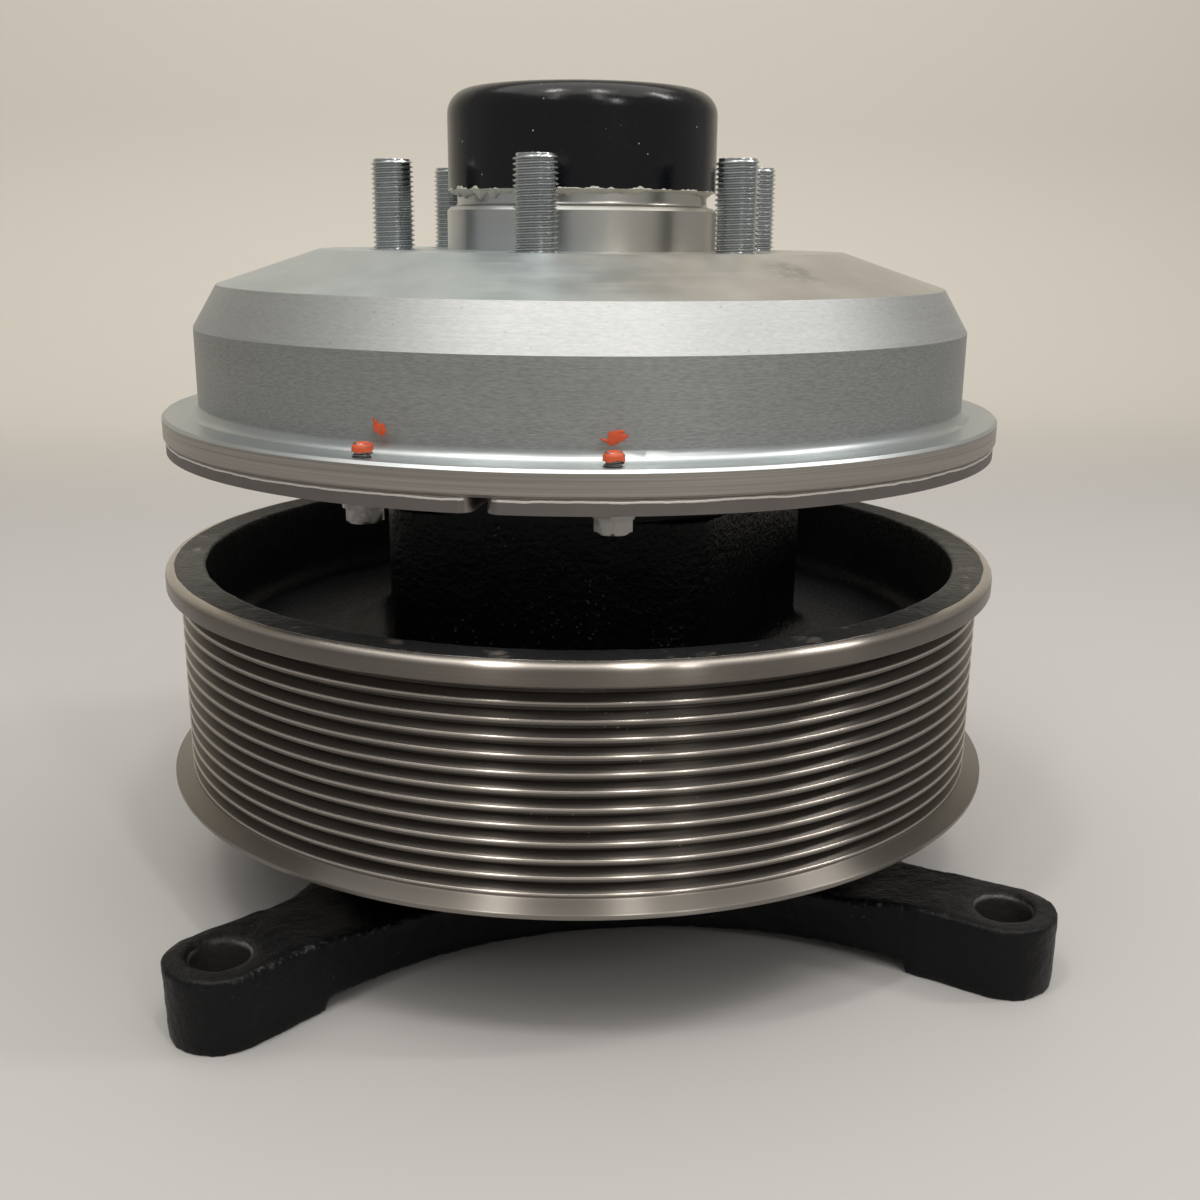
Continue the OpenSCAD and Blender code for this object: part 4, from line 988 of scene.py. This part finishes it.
@dataclass
class Pulley:
    """The belt pulley: grooved rim, cup, hub column and hub, one casting turned outside."""

    z: float = 29.0 * MM
    groove_count: int = 12
    groove_pitch: float = GROOVE_PITCH
    groove_root_w: float = 0.6 * MM
    ridge_w: float = 0.92 * MM
    root_r: float = ROOT_R
    ridge_r: float = RIDGE_R
    first_groove: float = 2.9 * MM
    lower_rim_r: float = 101.3 * MM
    upper_rim_r: float = 100.3 * MM
    height: float = 51.02 * MM
    cup_r: float = 91.1 * MM
    cup_foot_r: float = 90.3 * MM
    cup_floor: float = CUP_FLOOR
    web_under: float = 48.02 * MM
    hub_under: float = 44.52 * MM
    hub_r: float = 44.0 * MM
    rim_in_r: float = 88.35 * MM
    column_top: float = 96.02 * MM
    column_r: float = 56.0 * MM
    column_flat: float = 47.5 * MM
    column_turn: float = 19.0
    column_sides: int = 5
    bore_r: float = 31.02 * MM
    shoulder_r: float = 28.52 * MM
    bearing_z: float = 50.92 * MM
    ring_z: float = 87.02 * MM
    ring_r: float = 32.82 * MM
    ring_t: float = 1.4 * MM
    segments: int = 360
    lip: float = 1.1 * MM
    lip_round: float = 0.3 * MM
    root_round: float = 0.2 * MM
    tip_round: float = 0.38 * MM
    cast_depth: float = 0.13 * MM
    cast_lump: float = 5.5 * MM
    cast_from: float = 34 * MM
    cast_to: float = 91.5 * MM
    top_cast_to: float = 97.5 * MM
    cast_margin: float = 0.1 * MM
    paint_lap: float = 1.1 * MM

    def column_reach(self, angle: float) -> float:
        """Distance from the axis to the hub column's side.

        Args:
            angle: Degrees from the front.

        Returns:
            The distance, with the column's edges softened.
        """
        side = 360.0 / self.column_sides
        off = math.radians((angle - self.column_turn) % side - side / 2)
        flat, soft = self.column_flat / math.cos(off), 0.9 * MM
        return -soft * math.log(math.exp(-flat / soft) + math.exp(-self.column_r / soft))

    def rim(self) -> list[Corner]:
        """Corners of the outside, from the lower lip up to the cup's edge."""
        top, mouth = self.z + self.height, (self.groove_pitch - self.ridge_w) / 2
        corners = [Corner(self.lower_rim_r, self.z, self.lip_round),
                   Corner(self.lower_rim_r, self.z + self.lip, self.lip_round),
                   Corner(self.ridge_r, self.z + self.first_groove - self.ridge_w / 2, self.root_round)]
        for k in range(self.groove_count):
            middle = self.z + self.first_groove + (k + 0.5) * self.groove_pitch
            corners += [Corner(self.ridge_r, middle - mouth, self.tip_round),
                        Corner(self.root_r, middle - self.groove_root_w / 2, self.root_round),
                        Corner(self.root_r, middle + self.groove_root_w / 2, self.root_round),
                        Corner(self.ridge_r, middle + mouth, self.tip_round)]
        under_rim = self.z + self.first_groove + self.groove_count * self.groove_pitch + 0.9 * MM
        return [*corners, Corner(self.upper_rim_r, under_rim, 0.25 * MM),
                Corner(self.upper_rim_r, top, 1.8 * MM, 5), Corner(self.cup_r, top, 0.7 * MM, 14)]

    def section(self, angle: float) -> Profile:
        """The casting's cut at an angle.

        Args:
            angle: Degrees from the front.

        Returns:
            The section's points, closed.
        """
        reach, ring_top = self.column_reach(angle), self.ring_z + self.ring_t
        return trace([
            *self.rim(),
            Corner(self.cup_foot_r, self.cup_floor, 3.5 * MM, 22), Corner(reach, self.cup_floor, 4 * MM, 24),
            Corner(reach, self.column_top, 0.6 * MM, 6), Corner(self.bore_r, self.column_top),
            Corner(self.bore_r, ring_top), Corner(self.ring_r, ring_top), Corner(self.ring_r, self.ring_z),
            Corner(self.bore_r, self.ring_z), Corner(self.bore_r, self.bearing_z),
            Corner(self.shoulder_r, self.bearing_z), Corner(self.shoulder_r, self.hub_under),
            Corner(self.hub_r, self.hub_under, 0.5 * MM), Corner(self.hub_r, self.web_under, 2.6 * MM, 16),
            Corner(self.rim_in_r, self.web_under, 3.5 * MM, 6), Corner(self.rim_in_r, self.z, 0.4 * MM),
        ])

    def is_cast(self, at: Vector) -> bool:
        """Tells whether a point lies on a face that was left as cast."""
        reach, margin = math.hypot(at.x, at.y), self.cast_margin
        if self.cup_r < reach < self.top_cast_to and at.z > self.z + self.height - margin:
            return True
        inside = self.cast_from < reach < self.cast_to
        return inside and self.hub_under + margin < at.z < self.column_top - margin

    def build(self) -> None:
        """Makes the pulley and dresses it."""
        bm = bmesh.new()
        lathe(bm, self.section, self.segments)
        mesh = mesh_from(bm, "pulley_casting", 40)
        roughen(mesh, self.cast_depth, self.cast_lump, self.is_cast)
        new_piece("pulley_casting", mesh, GroovedIron().make(), Body.PULLEY,
                  ["belt_pulley"])
        self.paint_cup(mesh)

    def paint_cup(self, mesh: bpy.types.Mesh) -> None:
        """Gives the faces inside the rim the cup's paint.

        Args:
            mesh: The pulley's mesh, with its first finish.
        """
        mesh.materials.append(CupPaint().make())
        edge = self.cup_r + self.paint_lap
        for face in mesh.polygons:
            face.material_index = int(math.hypot(face.center.x, face.center.y) < edge)


@dataclass
class FanStuds:
    """The ring of threaded studs for the fan."""

    count: int = 6
    first: float = HEAD_TURN
    circle_r: float = 45 * MM
    seat: float = 150.82 * MM
    top: float = 171.02 * MM
    thread: Thread = Thread(4.7625 * MM, 1.0583 * MM, 0.7 * MM)

    def build(self) -> None:
        """Makes the studs as one piece."""
        bm = bmesh.new()
        for k in range(self.count):
            at = round_shaft(self.first + 360 * k / self.count, self.circle_r, self.seat)
            self.thread.build(bm, at, self.top)
        new_piece("threaded_studs", mesh_from(bm, "threaded_studs", 60), ZincFastener("zinc_studs").make(),
                  Body.HOUSING, ["fan_studs"])


@dataclass(frozen=True)
class Dab:
    """One touch of the paint brush on the bell's wall."""

    across: float
    height: float
    half_wide: float
    half_tall: float
    lean: float = 0.0


@dataclass
class ClampBolts:
    """Hexagon bolts that hold the clamp plates, with their threaded tips, washers and witness paint."""

    circle_r: float = 94 * MM
    first: float = -17.9
    spread: float = 14.5
    plates: int = 3
    head_under: float = 103.12 * MM
    head_top: float = 105.92 * MM
    across_flats: float = 7 * MM
    head_turn: float = 34.6
    turn_step: float = 20.4
    tip_top: float = 117.82 * MM
    wall_r: float = WALL_R
    thread: Thread = Thread(2 * MM, 0.7 * MM, 0.4 * MM, 20)
    marked: tuple[float, ...] = (-32.4, -3.4)
    smears: tuple[tuple[Dab, ...], ...] = (
        (Dab(1.45 * MM, 120.1 * MM, 1.5 * MM, 1.15 * MM, -0.1),
         Dab(0.6 * MM, 121.1 * MM, 0.6 * MM, 0.5 * MM),
         Dab(0.15 * MM, 121.7 * MM, 0.2 * MM, 0.4 * MM)),
        (Dab(0.5 * MM, 119.7 * MM, 1.8 * MM, 1.2 * MM, 0.15),
         Dab(0.9 * MM, 120.5 * MM, 1.0 * MM, 0.7 * MM, 0.3),
         Dab(-1.4 * MM, 119.3 * MM, 0.7 * MM, 0.35 * MM, -0.4),
         Dab(1.9 * MM, 120.9 * MM, 0.35 * MM, 0.22 * MM)),
    )

    def angles(self) -> list[float]:
        """Angles of all the bolts, in degrees."""
        return [self.first + 360 * k / self.plates + side * self.spread
                for k in range(self.plates) for side in (-1, 1)]

    def head(self, bm: bmesh.types.BMesh, at: Vector, turn: float) -> None:
        """Adds one hexagon head with its corners turned off below.

        Args:
            bm: Where the faces go.
            at: Point on the bolt's axis; only X and Y count.
            turn: Angle of the hexagon's first corner, in radians.
        """
        corner_r, flat_r = self.across_flats / 2 / math.cos(math.pi / 6), self.across_flats / 2
        steps, rings = 36, []
        levels = ((self.head_under, flat_r * 0.96), (self.head_under + 0.55 * MM, corner_r),
                  (self.head_top, corner_r))
        for height, limit in levels:
            ring = []
            for i in range(steps):
                a = math.tau * i / steps
                side = flat_r / math.cos((a + math.pi / 6) % (math.pi / 3) - math.pi / 6)
                reach, way = min(side, limit), a + turn
                x, y = at.x + reach * math.cos(way), at.y + reach * math.sin(way)
                ring.append(bm.verts.new((x, y, height)))
            rings.append(ring)
        skin(bm, rings)
        bm.faces.new(rings[0])
        bm.faces.new(rings[-1])

    def build(self) -> None:
        """Makes the bolts as one piece, then their paint."""
        bm = bmesh.new()
        for k, angle in enumerate(self.angles()):
            at = round_shaft(angle, self.circle_r, self.head_top - 0.2 * MM)
            self.head(bm, at, math.radians(angle + self.head_turn + self.turn_step * k))
            self.thread.build(bm, at, self.tip_top)
        new_piece("clamp_bolt_set", mesh_from(bm, "clamp_bolt_set", 28), DULL_ZINC.make(), Body.HOUSING,
                  ["clamp_bolts"])
        self.paint()

    def paint(self) -> None:
        """Makes the daubs on two tips and the smears on the wall above them."""
        material = WitnessPaint().make()
        for k, (angle, dabs) in enumerate(zip(self.marked, self.smears)):
            bm = bmesh.new()
            self.daub(bm, round_shaft(angle, self.circle_r, self.tip_top), 7.3 * k)
            for i, dab in enumerate(dabs):
                self.smear(bm, angle, dab, 3.1 + 5.7 * k + 1.9 * i)
            name = f"witness_mark_{k + 1}"
            new_piece(name, mesh_from(bm, name, 70), material, Body.HOUSING)

    def daub(self, bm: bmesh.types.BMesh, tip: Vector, seed: float) -> None:
        """Adds a paint cap on a bolt's tip.

        Args:
            bm: Where the faces go.
            tip: The tip's middle.
            seed: Shifts its outline.
        """
        rows, steps, over = 9, 28, 2.08 * MM
        grid = []
        for row in range(rows):
            share = row / (rows - 1)
            ring = []
            for i in range(steps):
                a = math.tau * i / steps
                ragged = noise.noise(Vector((math.cos(a) * 1.4, math.sin(a) * 1.4, seed)))
                drop = (1.75 + 0.6 * ragged) * MM
                bulge = math.sin(min(1.0, share * 1.35) * math.pi / 2) * (0.9 + 0.1 * share)
                uneven = noise.noise(Vector((math.cos(a) * 3, math.sin(a) * 3, seed + row)))
                reach = over * bulge * (1 + 0.05 * uneven)
                height = tip.z + 0.22 * MM - drop * (1 - math.cos(share * math.pi / 2)) ** 1.2
                ring.append(bm.verts.new((tip.x + reach * math.cos(a), tip.y + reach * math.sin(a), height)))
            grid.append(ring)
        skin(bm, grid)

    def smear(self, bm: bmesh.types.BMesh, angle: float, dab: Dab, seed: float) -> None:
        """Adds a thin dab of paint on the bell's wall.

        Args:
            bm: Where the faces go.
            angle: The bolt's place, in degrees from the front.
            dab: The dab's place beside the bolt, and its size.
            seed: Shifts its outline.
        """
        rows, steps, thick = 8, 48, 0.09 * MM
        grid = []
        for row in range(rows):
            share = row / (rows - 1)
            ring = []
            for i in range(steps):
                a = math.tau * i / steps
                slow = noise.noise(Vector((math.cos(a) * 1.3, math.sin(a) * 1.3, seed)))
                quick = noise.noise(Vector((math.cos(a) * 3.5, math.sin(a) * 3.5, seed)))
                ragged = 1 + 0.4 * slow + 0.3 * quick
                across = dab.across + share * dab.half_wide * ragged * math.cos(a)
                rise = share * ragged * (dab.half_tall * math.sin(a) + dab.lean * dab.half_wide * math.cos(a))
                out = self.wall_r + thick * (1 - share ** 3) + 0.03 * MM
                place = angle + math.degrees(across / self.wall_r)
                ring.append(bm.verts.new(round_shaft(place, out, dab.height + rise)))
            grid.append(ring)
        skin(bm, grid)


@dataclass
class SealantBead:
    """The sealant squeezed out in the neck between the pilot and the cap."""

    neck_r: float = 29.42 * MM
    cap_r: float = 31.4 * MM
    cap_foot: float = 164.62 * MM
    thickest: float = -48.0
    lump_at: float = 62.0
    segments: int = 420

    def section(self, angle: float) -> Profile:
        """The bead's cut at an angle.

        Args:
            angle: Degrees from the front.

        Returns:
            The section's points, closed.
        """
        a = math.radians(angle)
        around = Vector((math.cos(a), math.sin(a), 0.0))
        slow, quick = noise.noise(around * 2.3), noise.noise(around * 9.0 + Vector((0, 0, 4.0)))
        teeth = max(0.0, noise.noise(around * 14.0 + Vector((0, 0, 9.0)))) ** 1.5
        lumpy = noise.noise(around * 34.0 + Vector((0, 0, 2.0)))
        plenty = max(0.0, math.cos(a - math.radians(self.thickest))) ** 1.5
        lump = max(0.0, math.cos(a - math.radians(self.lump_at))) ** 24
        plenty = min(1.0, plenty + 0.8 * lump + max(0.0, slow))
        hang = min(max(0.3 + plenty * (0.7 + 0.7 * quick + 2.2 * teeth) + 0.18 * lumpy, 0.16), 2.6) * MM
        bulge = (1.2 + 0.45 * plenty + 0.3 * quick + 0.2 * lumpy) * MM
        lap = max(0.0, 0.12 + 0.75 * quick + 0.5 * lumpy) * MM
        high, low = self.cap_foot - 0.02 * MM, self.cap_foot - hang
        lap_r = self.cap_r + 0.05 * MM + 0.2 * lap
        outer = []
        for share in (0.0, 0.12, 0.3, 0.52, 0.76, 1.0):
            out = 0.12 + 0.88 * math.sin(share * math.pi / 2)
            outer.append((self.neck_r + bulge * out, low + (high - low) * share))
        return [(self.neck_r, low), *outer, (lap_r - 0.3 * MM, high), (lap_r, high + 0.1 * lap),
                (lap_r - 0.04 * MM, high + lap), (self.cap_r - 0.02 * MM, high + lap + 0.05 * MM),
                (self.cap_r - 0.3 * MM, high + 0.01 * MM), (self.neck_r, high + 0.01 * MM)]

    def build(self) -> None:
        """Makes the bead."""
        bm = bmesh.new()
        lathe(bm, self.section, self.segments)
        new_piece("sealant_bead", mesh_from(bm, "sealant_bead", 60), CuredSealant().make(), Body.HOUSING,
                  ["cap_sealant"])


@dataclass
class BimetalCoil:
    """The valve's spiral spring, parted inside its first turn: the tang turns with the valve."""

    turns: int = 4
    thick: float = 1.2 * MM
    first_r: float = 5.5 * MM
    pitch: float = 3.4 * MM
    tang_r: float = 4.6 * MM
    turned: float = HEAD_TURN
    step: int = 15

    @staticmethod
    def strip(name: str, sides: Sequence[tuple[Vector, Vector]], rise: float) -> bpy.types.Mesh:
        """Makes an upright strip.

        Args:
            name: The mesh's name.
            sides: The strip's two lower corners at each step along it.
            rise: Its width.

        Returns:
            The mesh.
        """
        bm = bmesh.new()
        lift = Vector((0.0, 0.0, rise))
        rings = [[bm.verts.new(spot) for spot in (a, b, b + lift, a + lift)] for a, b in sides]
        skin(bm, rings)
        bm.faces.new(rings[0])
        bm.faces.new(rings[-1])
        return mesh_from(bm, name)

    def build(self) -> None:
        """Makes the spiral on the housing and the tang on the valve."""
        low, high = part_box("bimetal_coil")
        rise, half, finish = high.z - low.z, self.thick / 2, BIMETAL.make()
        spiral = []
        for a in range(0, 360 * self.turns + 1, self.step):
            middle = self.first_r + self.pitch * a / 360
            spiral.append((round_shaft(a + self.turned, middle + half, low.z),
                           round_shaft(a + self.turned, middle - half, low.z)))
        across = round_shaft(self.turned + 90.0, half, 0.0)
        ends = [round_shaft(self.turned, reach, low.z) for reach in (0.0, self.tang_r)]
        tang = [(end - across, end + across) for end in ends]
        new_piece("coil_spiral", self.strip("coil_spiral", spiral, rise), finish, Body.HOUSING,
                  ["bimetal_coil"])
        new_piece("coil_tang", self.strip("coil_tang", tang, rise), finish, Body.VALVE)


DULL_ZINC = ZincFastener("dull_zinc", (0.30, 0.293, 0.282), (0.50, 0.49, 0.476), 0.77)
STEEL = TurnedMetal("ground_steel", (0.60, 0.60, 0.62), (0.42, 0.42, 0.44), 0.24)
DARK_STEEL = TurnedMetal("black_oxide_steel", (0.14, 0.14, 0.15), (0.07, 0.07, 0.08), 0.38)
# Painted shade: the rear cover is made near-black for the dark gap behind the clamp plates; the drive shaft
# shares it.
SHADE_DARK_METAL = TurnedMetal("shade_dark_cover", (0.030, 0.030, 0.032), (0.012, 0.012, 0.014), 0.5, 900.0)
ALLOY = TurnedMetal("machined_alloy", (0.66, 0.67, 0.68), (0.48, 0.49, 0.50), 0.34, 1600.0)
BRASS = TurnedMetal("cage_brass", (0.62, 0.48, 0.24), (0.46, 0.34, 0.16), 0.3)
BIMETAL = TurnedMetal("bimetal_strip", (0.54, 0.48, 0.38), (0.38, 0.33, 0.26), 0.36)

FINISHES: tuple[tuple[Any, tuple[str, ...]], ...] = (
    (ZincPlate(), ("clutch_housing",)),
    (StampedPlate(), ("clamp_plate_1", "clamp_plate_2", "clamp_plate_3")),
    (GlossBlack(), ("end_cap",)),
    (DULL_ZINC, ("clamp_washers",)),
    (SealRubber(), ("hub_seal", "cover_seal", "valve_seal")),
    (STEEL, ("spindle", "lower_inner_race", "upper_inner_race", "inner_race_spacer",
             "lower_outer_race", "upper_outer_race", "outer_race_spacer",
             "clutch_inner_race", "clutch_outer_race",
             "lower_balls", "upper_balls", "clutch_balls", "valve_shaft", "coil_anchor")),
    (DARK_STEEL, ("foot_washer", "foot_nut", "lock_washer", "bearing_nut", "hub_retaining_ring",
                  "drive_screws", "rotor_retaining_ring", "clutch_retaining_ring", "reservoir_screws")),
    (SHADE_DARK_METAL, ("rear_cover", "drive_shaft")),
    (ALLOY, ("rotor", "reservoir_plate")),
    (BRASS, ("lower_cage", "upper_cage", "clutch_cage", "valve_arm")),
)


def dress(nodes: dict[str, bpy.types.Object]) -> None:
    """Gives the CAD nodes that stay their finishes.

    Args:
        nodes: The CAD nodes by name.
    """
    for finish, names in FINISHES:
        material = finish.make()
        for name in names:
            mesh = nodes[name].data
            mesh.materials.clear()
            mesh.materials.append(material)
            LOG.info("%s gets %s", name, material.name)


@dataclass
class PhotoCamera:
    """The camera that took the photograph, as fitted to the circles in it."""

    azimuth: float = -7.0
    distance: float = 334.3 * MM
    height: float = 155.8 * MM
    pitch: float = 15.217
    yaw: float = 0.863
    roll: float = -0.502
    lens: float = 40.67
    sensor: float = 36.0

    def build(self) -> None:
        """Makes the camera and sets it as the scene's."""
        pitch, yaw, roll = (math.radians(v) for v in (self.pitch, self.yaw, self.roll))
        ahead = Vector((math.sin(yaw) * math.cos(pitch), math.cos(yaw) * math.cos(pitch), -math.sin(pitch)))
        level = Vector((math.cos(yaw), -math.sin(yaw), 0.0))
        above = level.cross(ahead)
        right = math.cos(roll) * level - math.sin(roll) * above
        up = math.sin(roll) * level + math.cos(roll) * above
        facing = Matrix((right, up, -ahead)).transposed().to_4x4()
        facing.translation = Vector((0.0, -self.distance, self.height))
        data = bpy.data.cameras.new("photo_camera")
        data.lens, data.sensor_width = self.lens, self.sensor
        data.clip_start, data.clip_end = 0.01, 20.0
        camera = bpy.data.objects.new("photo_camera", data)
        bpy.context.scene.collection.objects.link(camera)
        camera.matrix_world = Matrix.Rotation(math.radians(self.azimuth), 4, "Z") @ facing
        bpy.context.scene.camera = camera


@dataclass(frozen=True)
class Lamp:
    """One soft rectangular lamp that faces the drive."""

    name: str
    angle: float
    reach: float
    height: float
    wide: float
    tall: float
    power: float
    colour: Colour = (1.0, 1.0, 1.0)

    def build(self) -> None:
        """Makes the lamp."""
        data = bpy.data.lights.new(self.name, "AREA")
        data.shape, data.size, data.size_y = "RECTANGLE", self.wide, self.tall
        data.energy, data.color = self.power, self.colour
        lamp = bpy.data.objects.new(self.name, data)
        bpy.context.scene.collection.objects.link(lamp)
        lamp.location = round_shaft(self.angle, self.reach, self.height)
        lamp.rotation_mode = "QUATERNION"
        lamp.rotation_quaternion = (Vector((0.0, 0.0, 0.1)) - lamp.location).to_track_quat("-Z", "Y")


@dataclass
class Studio:
    """Plain pale floor and backdrop, soft lamps and an even surround."""

    floor_colour: Colour = (0.46, 0.45, 0.445)
    wall_colour: Colour = (0.66, 0.63, 0.57)
    surround: Colour = (0.86, 0.84, 0.80)
    surround_strength: float = 0.4
    half_width: float = 2.2
    front: float = -1.6
    back: float = 0.95
    bend: float = 0.25
    top: float = 2.0
    lamps: tuple[Lamp, ...] = (
        Lamp("overhead", 0.0, 0.1, 1.15, 1.7, 1.3, 11.0, (1.0, 0.97, 0.92)),
        Lamp("strip_left", -32.0, 0.95, 0.95, 0.06, 0.5, 0.9, (1.0, 0.96, 0.9)),
        Lamp("strip_right", 8.6, 0.95, 0.95, 0.06, 0.5, 0.8, (1.0, 0.96, 0.9)),
        Lamp("side_right", 80.0, 1.0, 1.1, 0.08, 0.4, 3.4, (1.0, 0.97, 0.93)),
        Lamp("low_right", 21.0, 0.95, 0.6, 0.05, 0.25, 1.0, (1.0, 0.97, 0.93)),
        Lamp("high_left", -47.0, 0.52, 1.25, 0.06, 0.24, 2.4, (1.0, 0.96, 0.9)),
        Lamp("high_right", 17.5, 0.52, 1.25, 0.06, 0.24, 2.0, (1.0, 0.96, 0.9)),
    )

    def backdrop(self) -> bpy.types.Object:
        """Makes the floor that bends up into a wall.

        Returns:
            The backdrop.
        """
        bm, steps = bmesh.new(), 12
        start = self.back - self.bend
        line = [(self.front, 0.0), (start, 0.0)]
        for i in range(1, steps + 1):
            a = math.pi / 2 * i / steps
            line.append((start + self.bend * math.sin(a), self.bend * (1 - math.cos(a))))
        line.append((self.back, self.top))
        half = self.half_width
        pairs = [(bm.verts.new((-half, y, z)), bm.verts.new((half, y, z))) for y, z in line]
        for (a, b), (c, d) in zip(pairs, pairs[1:]):
            bm.faces.new((a, b, d, c))
        mesh = mesh_from(bm, "backdrop", 60)
        r = Recipe("pale_backdrop")
        rise = r.step(r.y, self.back - 0.55, self.back - 0.02)
        r.set(Base_Color=r.mix(rise, self.floor_colour, self.wall_colour), Roughness=0.55,
              Specular_IOR_Level=0.3)
        mesh.materials.append(r.material)
        made = bpy.data.objects.new("backdrop", mesh)
        bpy.context.scene.collection.objects.link(made)
        return made

    def build(self) -> None:
        """Makes the floor, the surround and the lamps."""
        self.backdrop()
        world = bpy.data.worlds.new("surround")
        world.use_nodes = True
        light = world.node_tree.nodes["Background"]
        light.inputs["Color"].default_value = (*self.surround, 1.0)
        light.inputs["Strength"].default_value = self.surround_strength
        bpy.context.scene.world = world
        for lamp in self.lamps:
            lamp.build()
        bpy.context.scene.view_settings.view_transform = "Standard"


def main() -> None:
    """Builds the dressed drive, the studio and the camera."""
    logging.basicConfig(level=logging.INFO, format="%(name)s: %(message)s")
    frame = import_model()
    nodes = frame["nodes"]
    dress(nodes)
    Bracket().build(nodes)
    Pulley().build()
    FanStuds().build()
    ClampBolts().build()
    SealantBead().build()
    BimetalCoil().build()
    Studio().build()
    PhotoCamera().build()


if __name__ == "__main__":
    main()
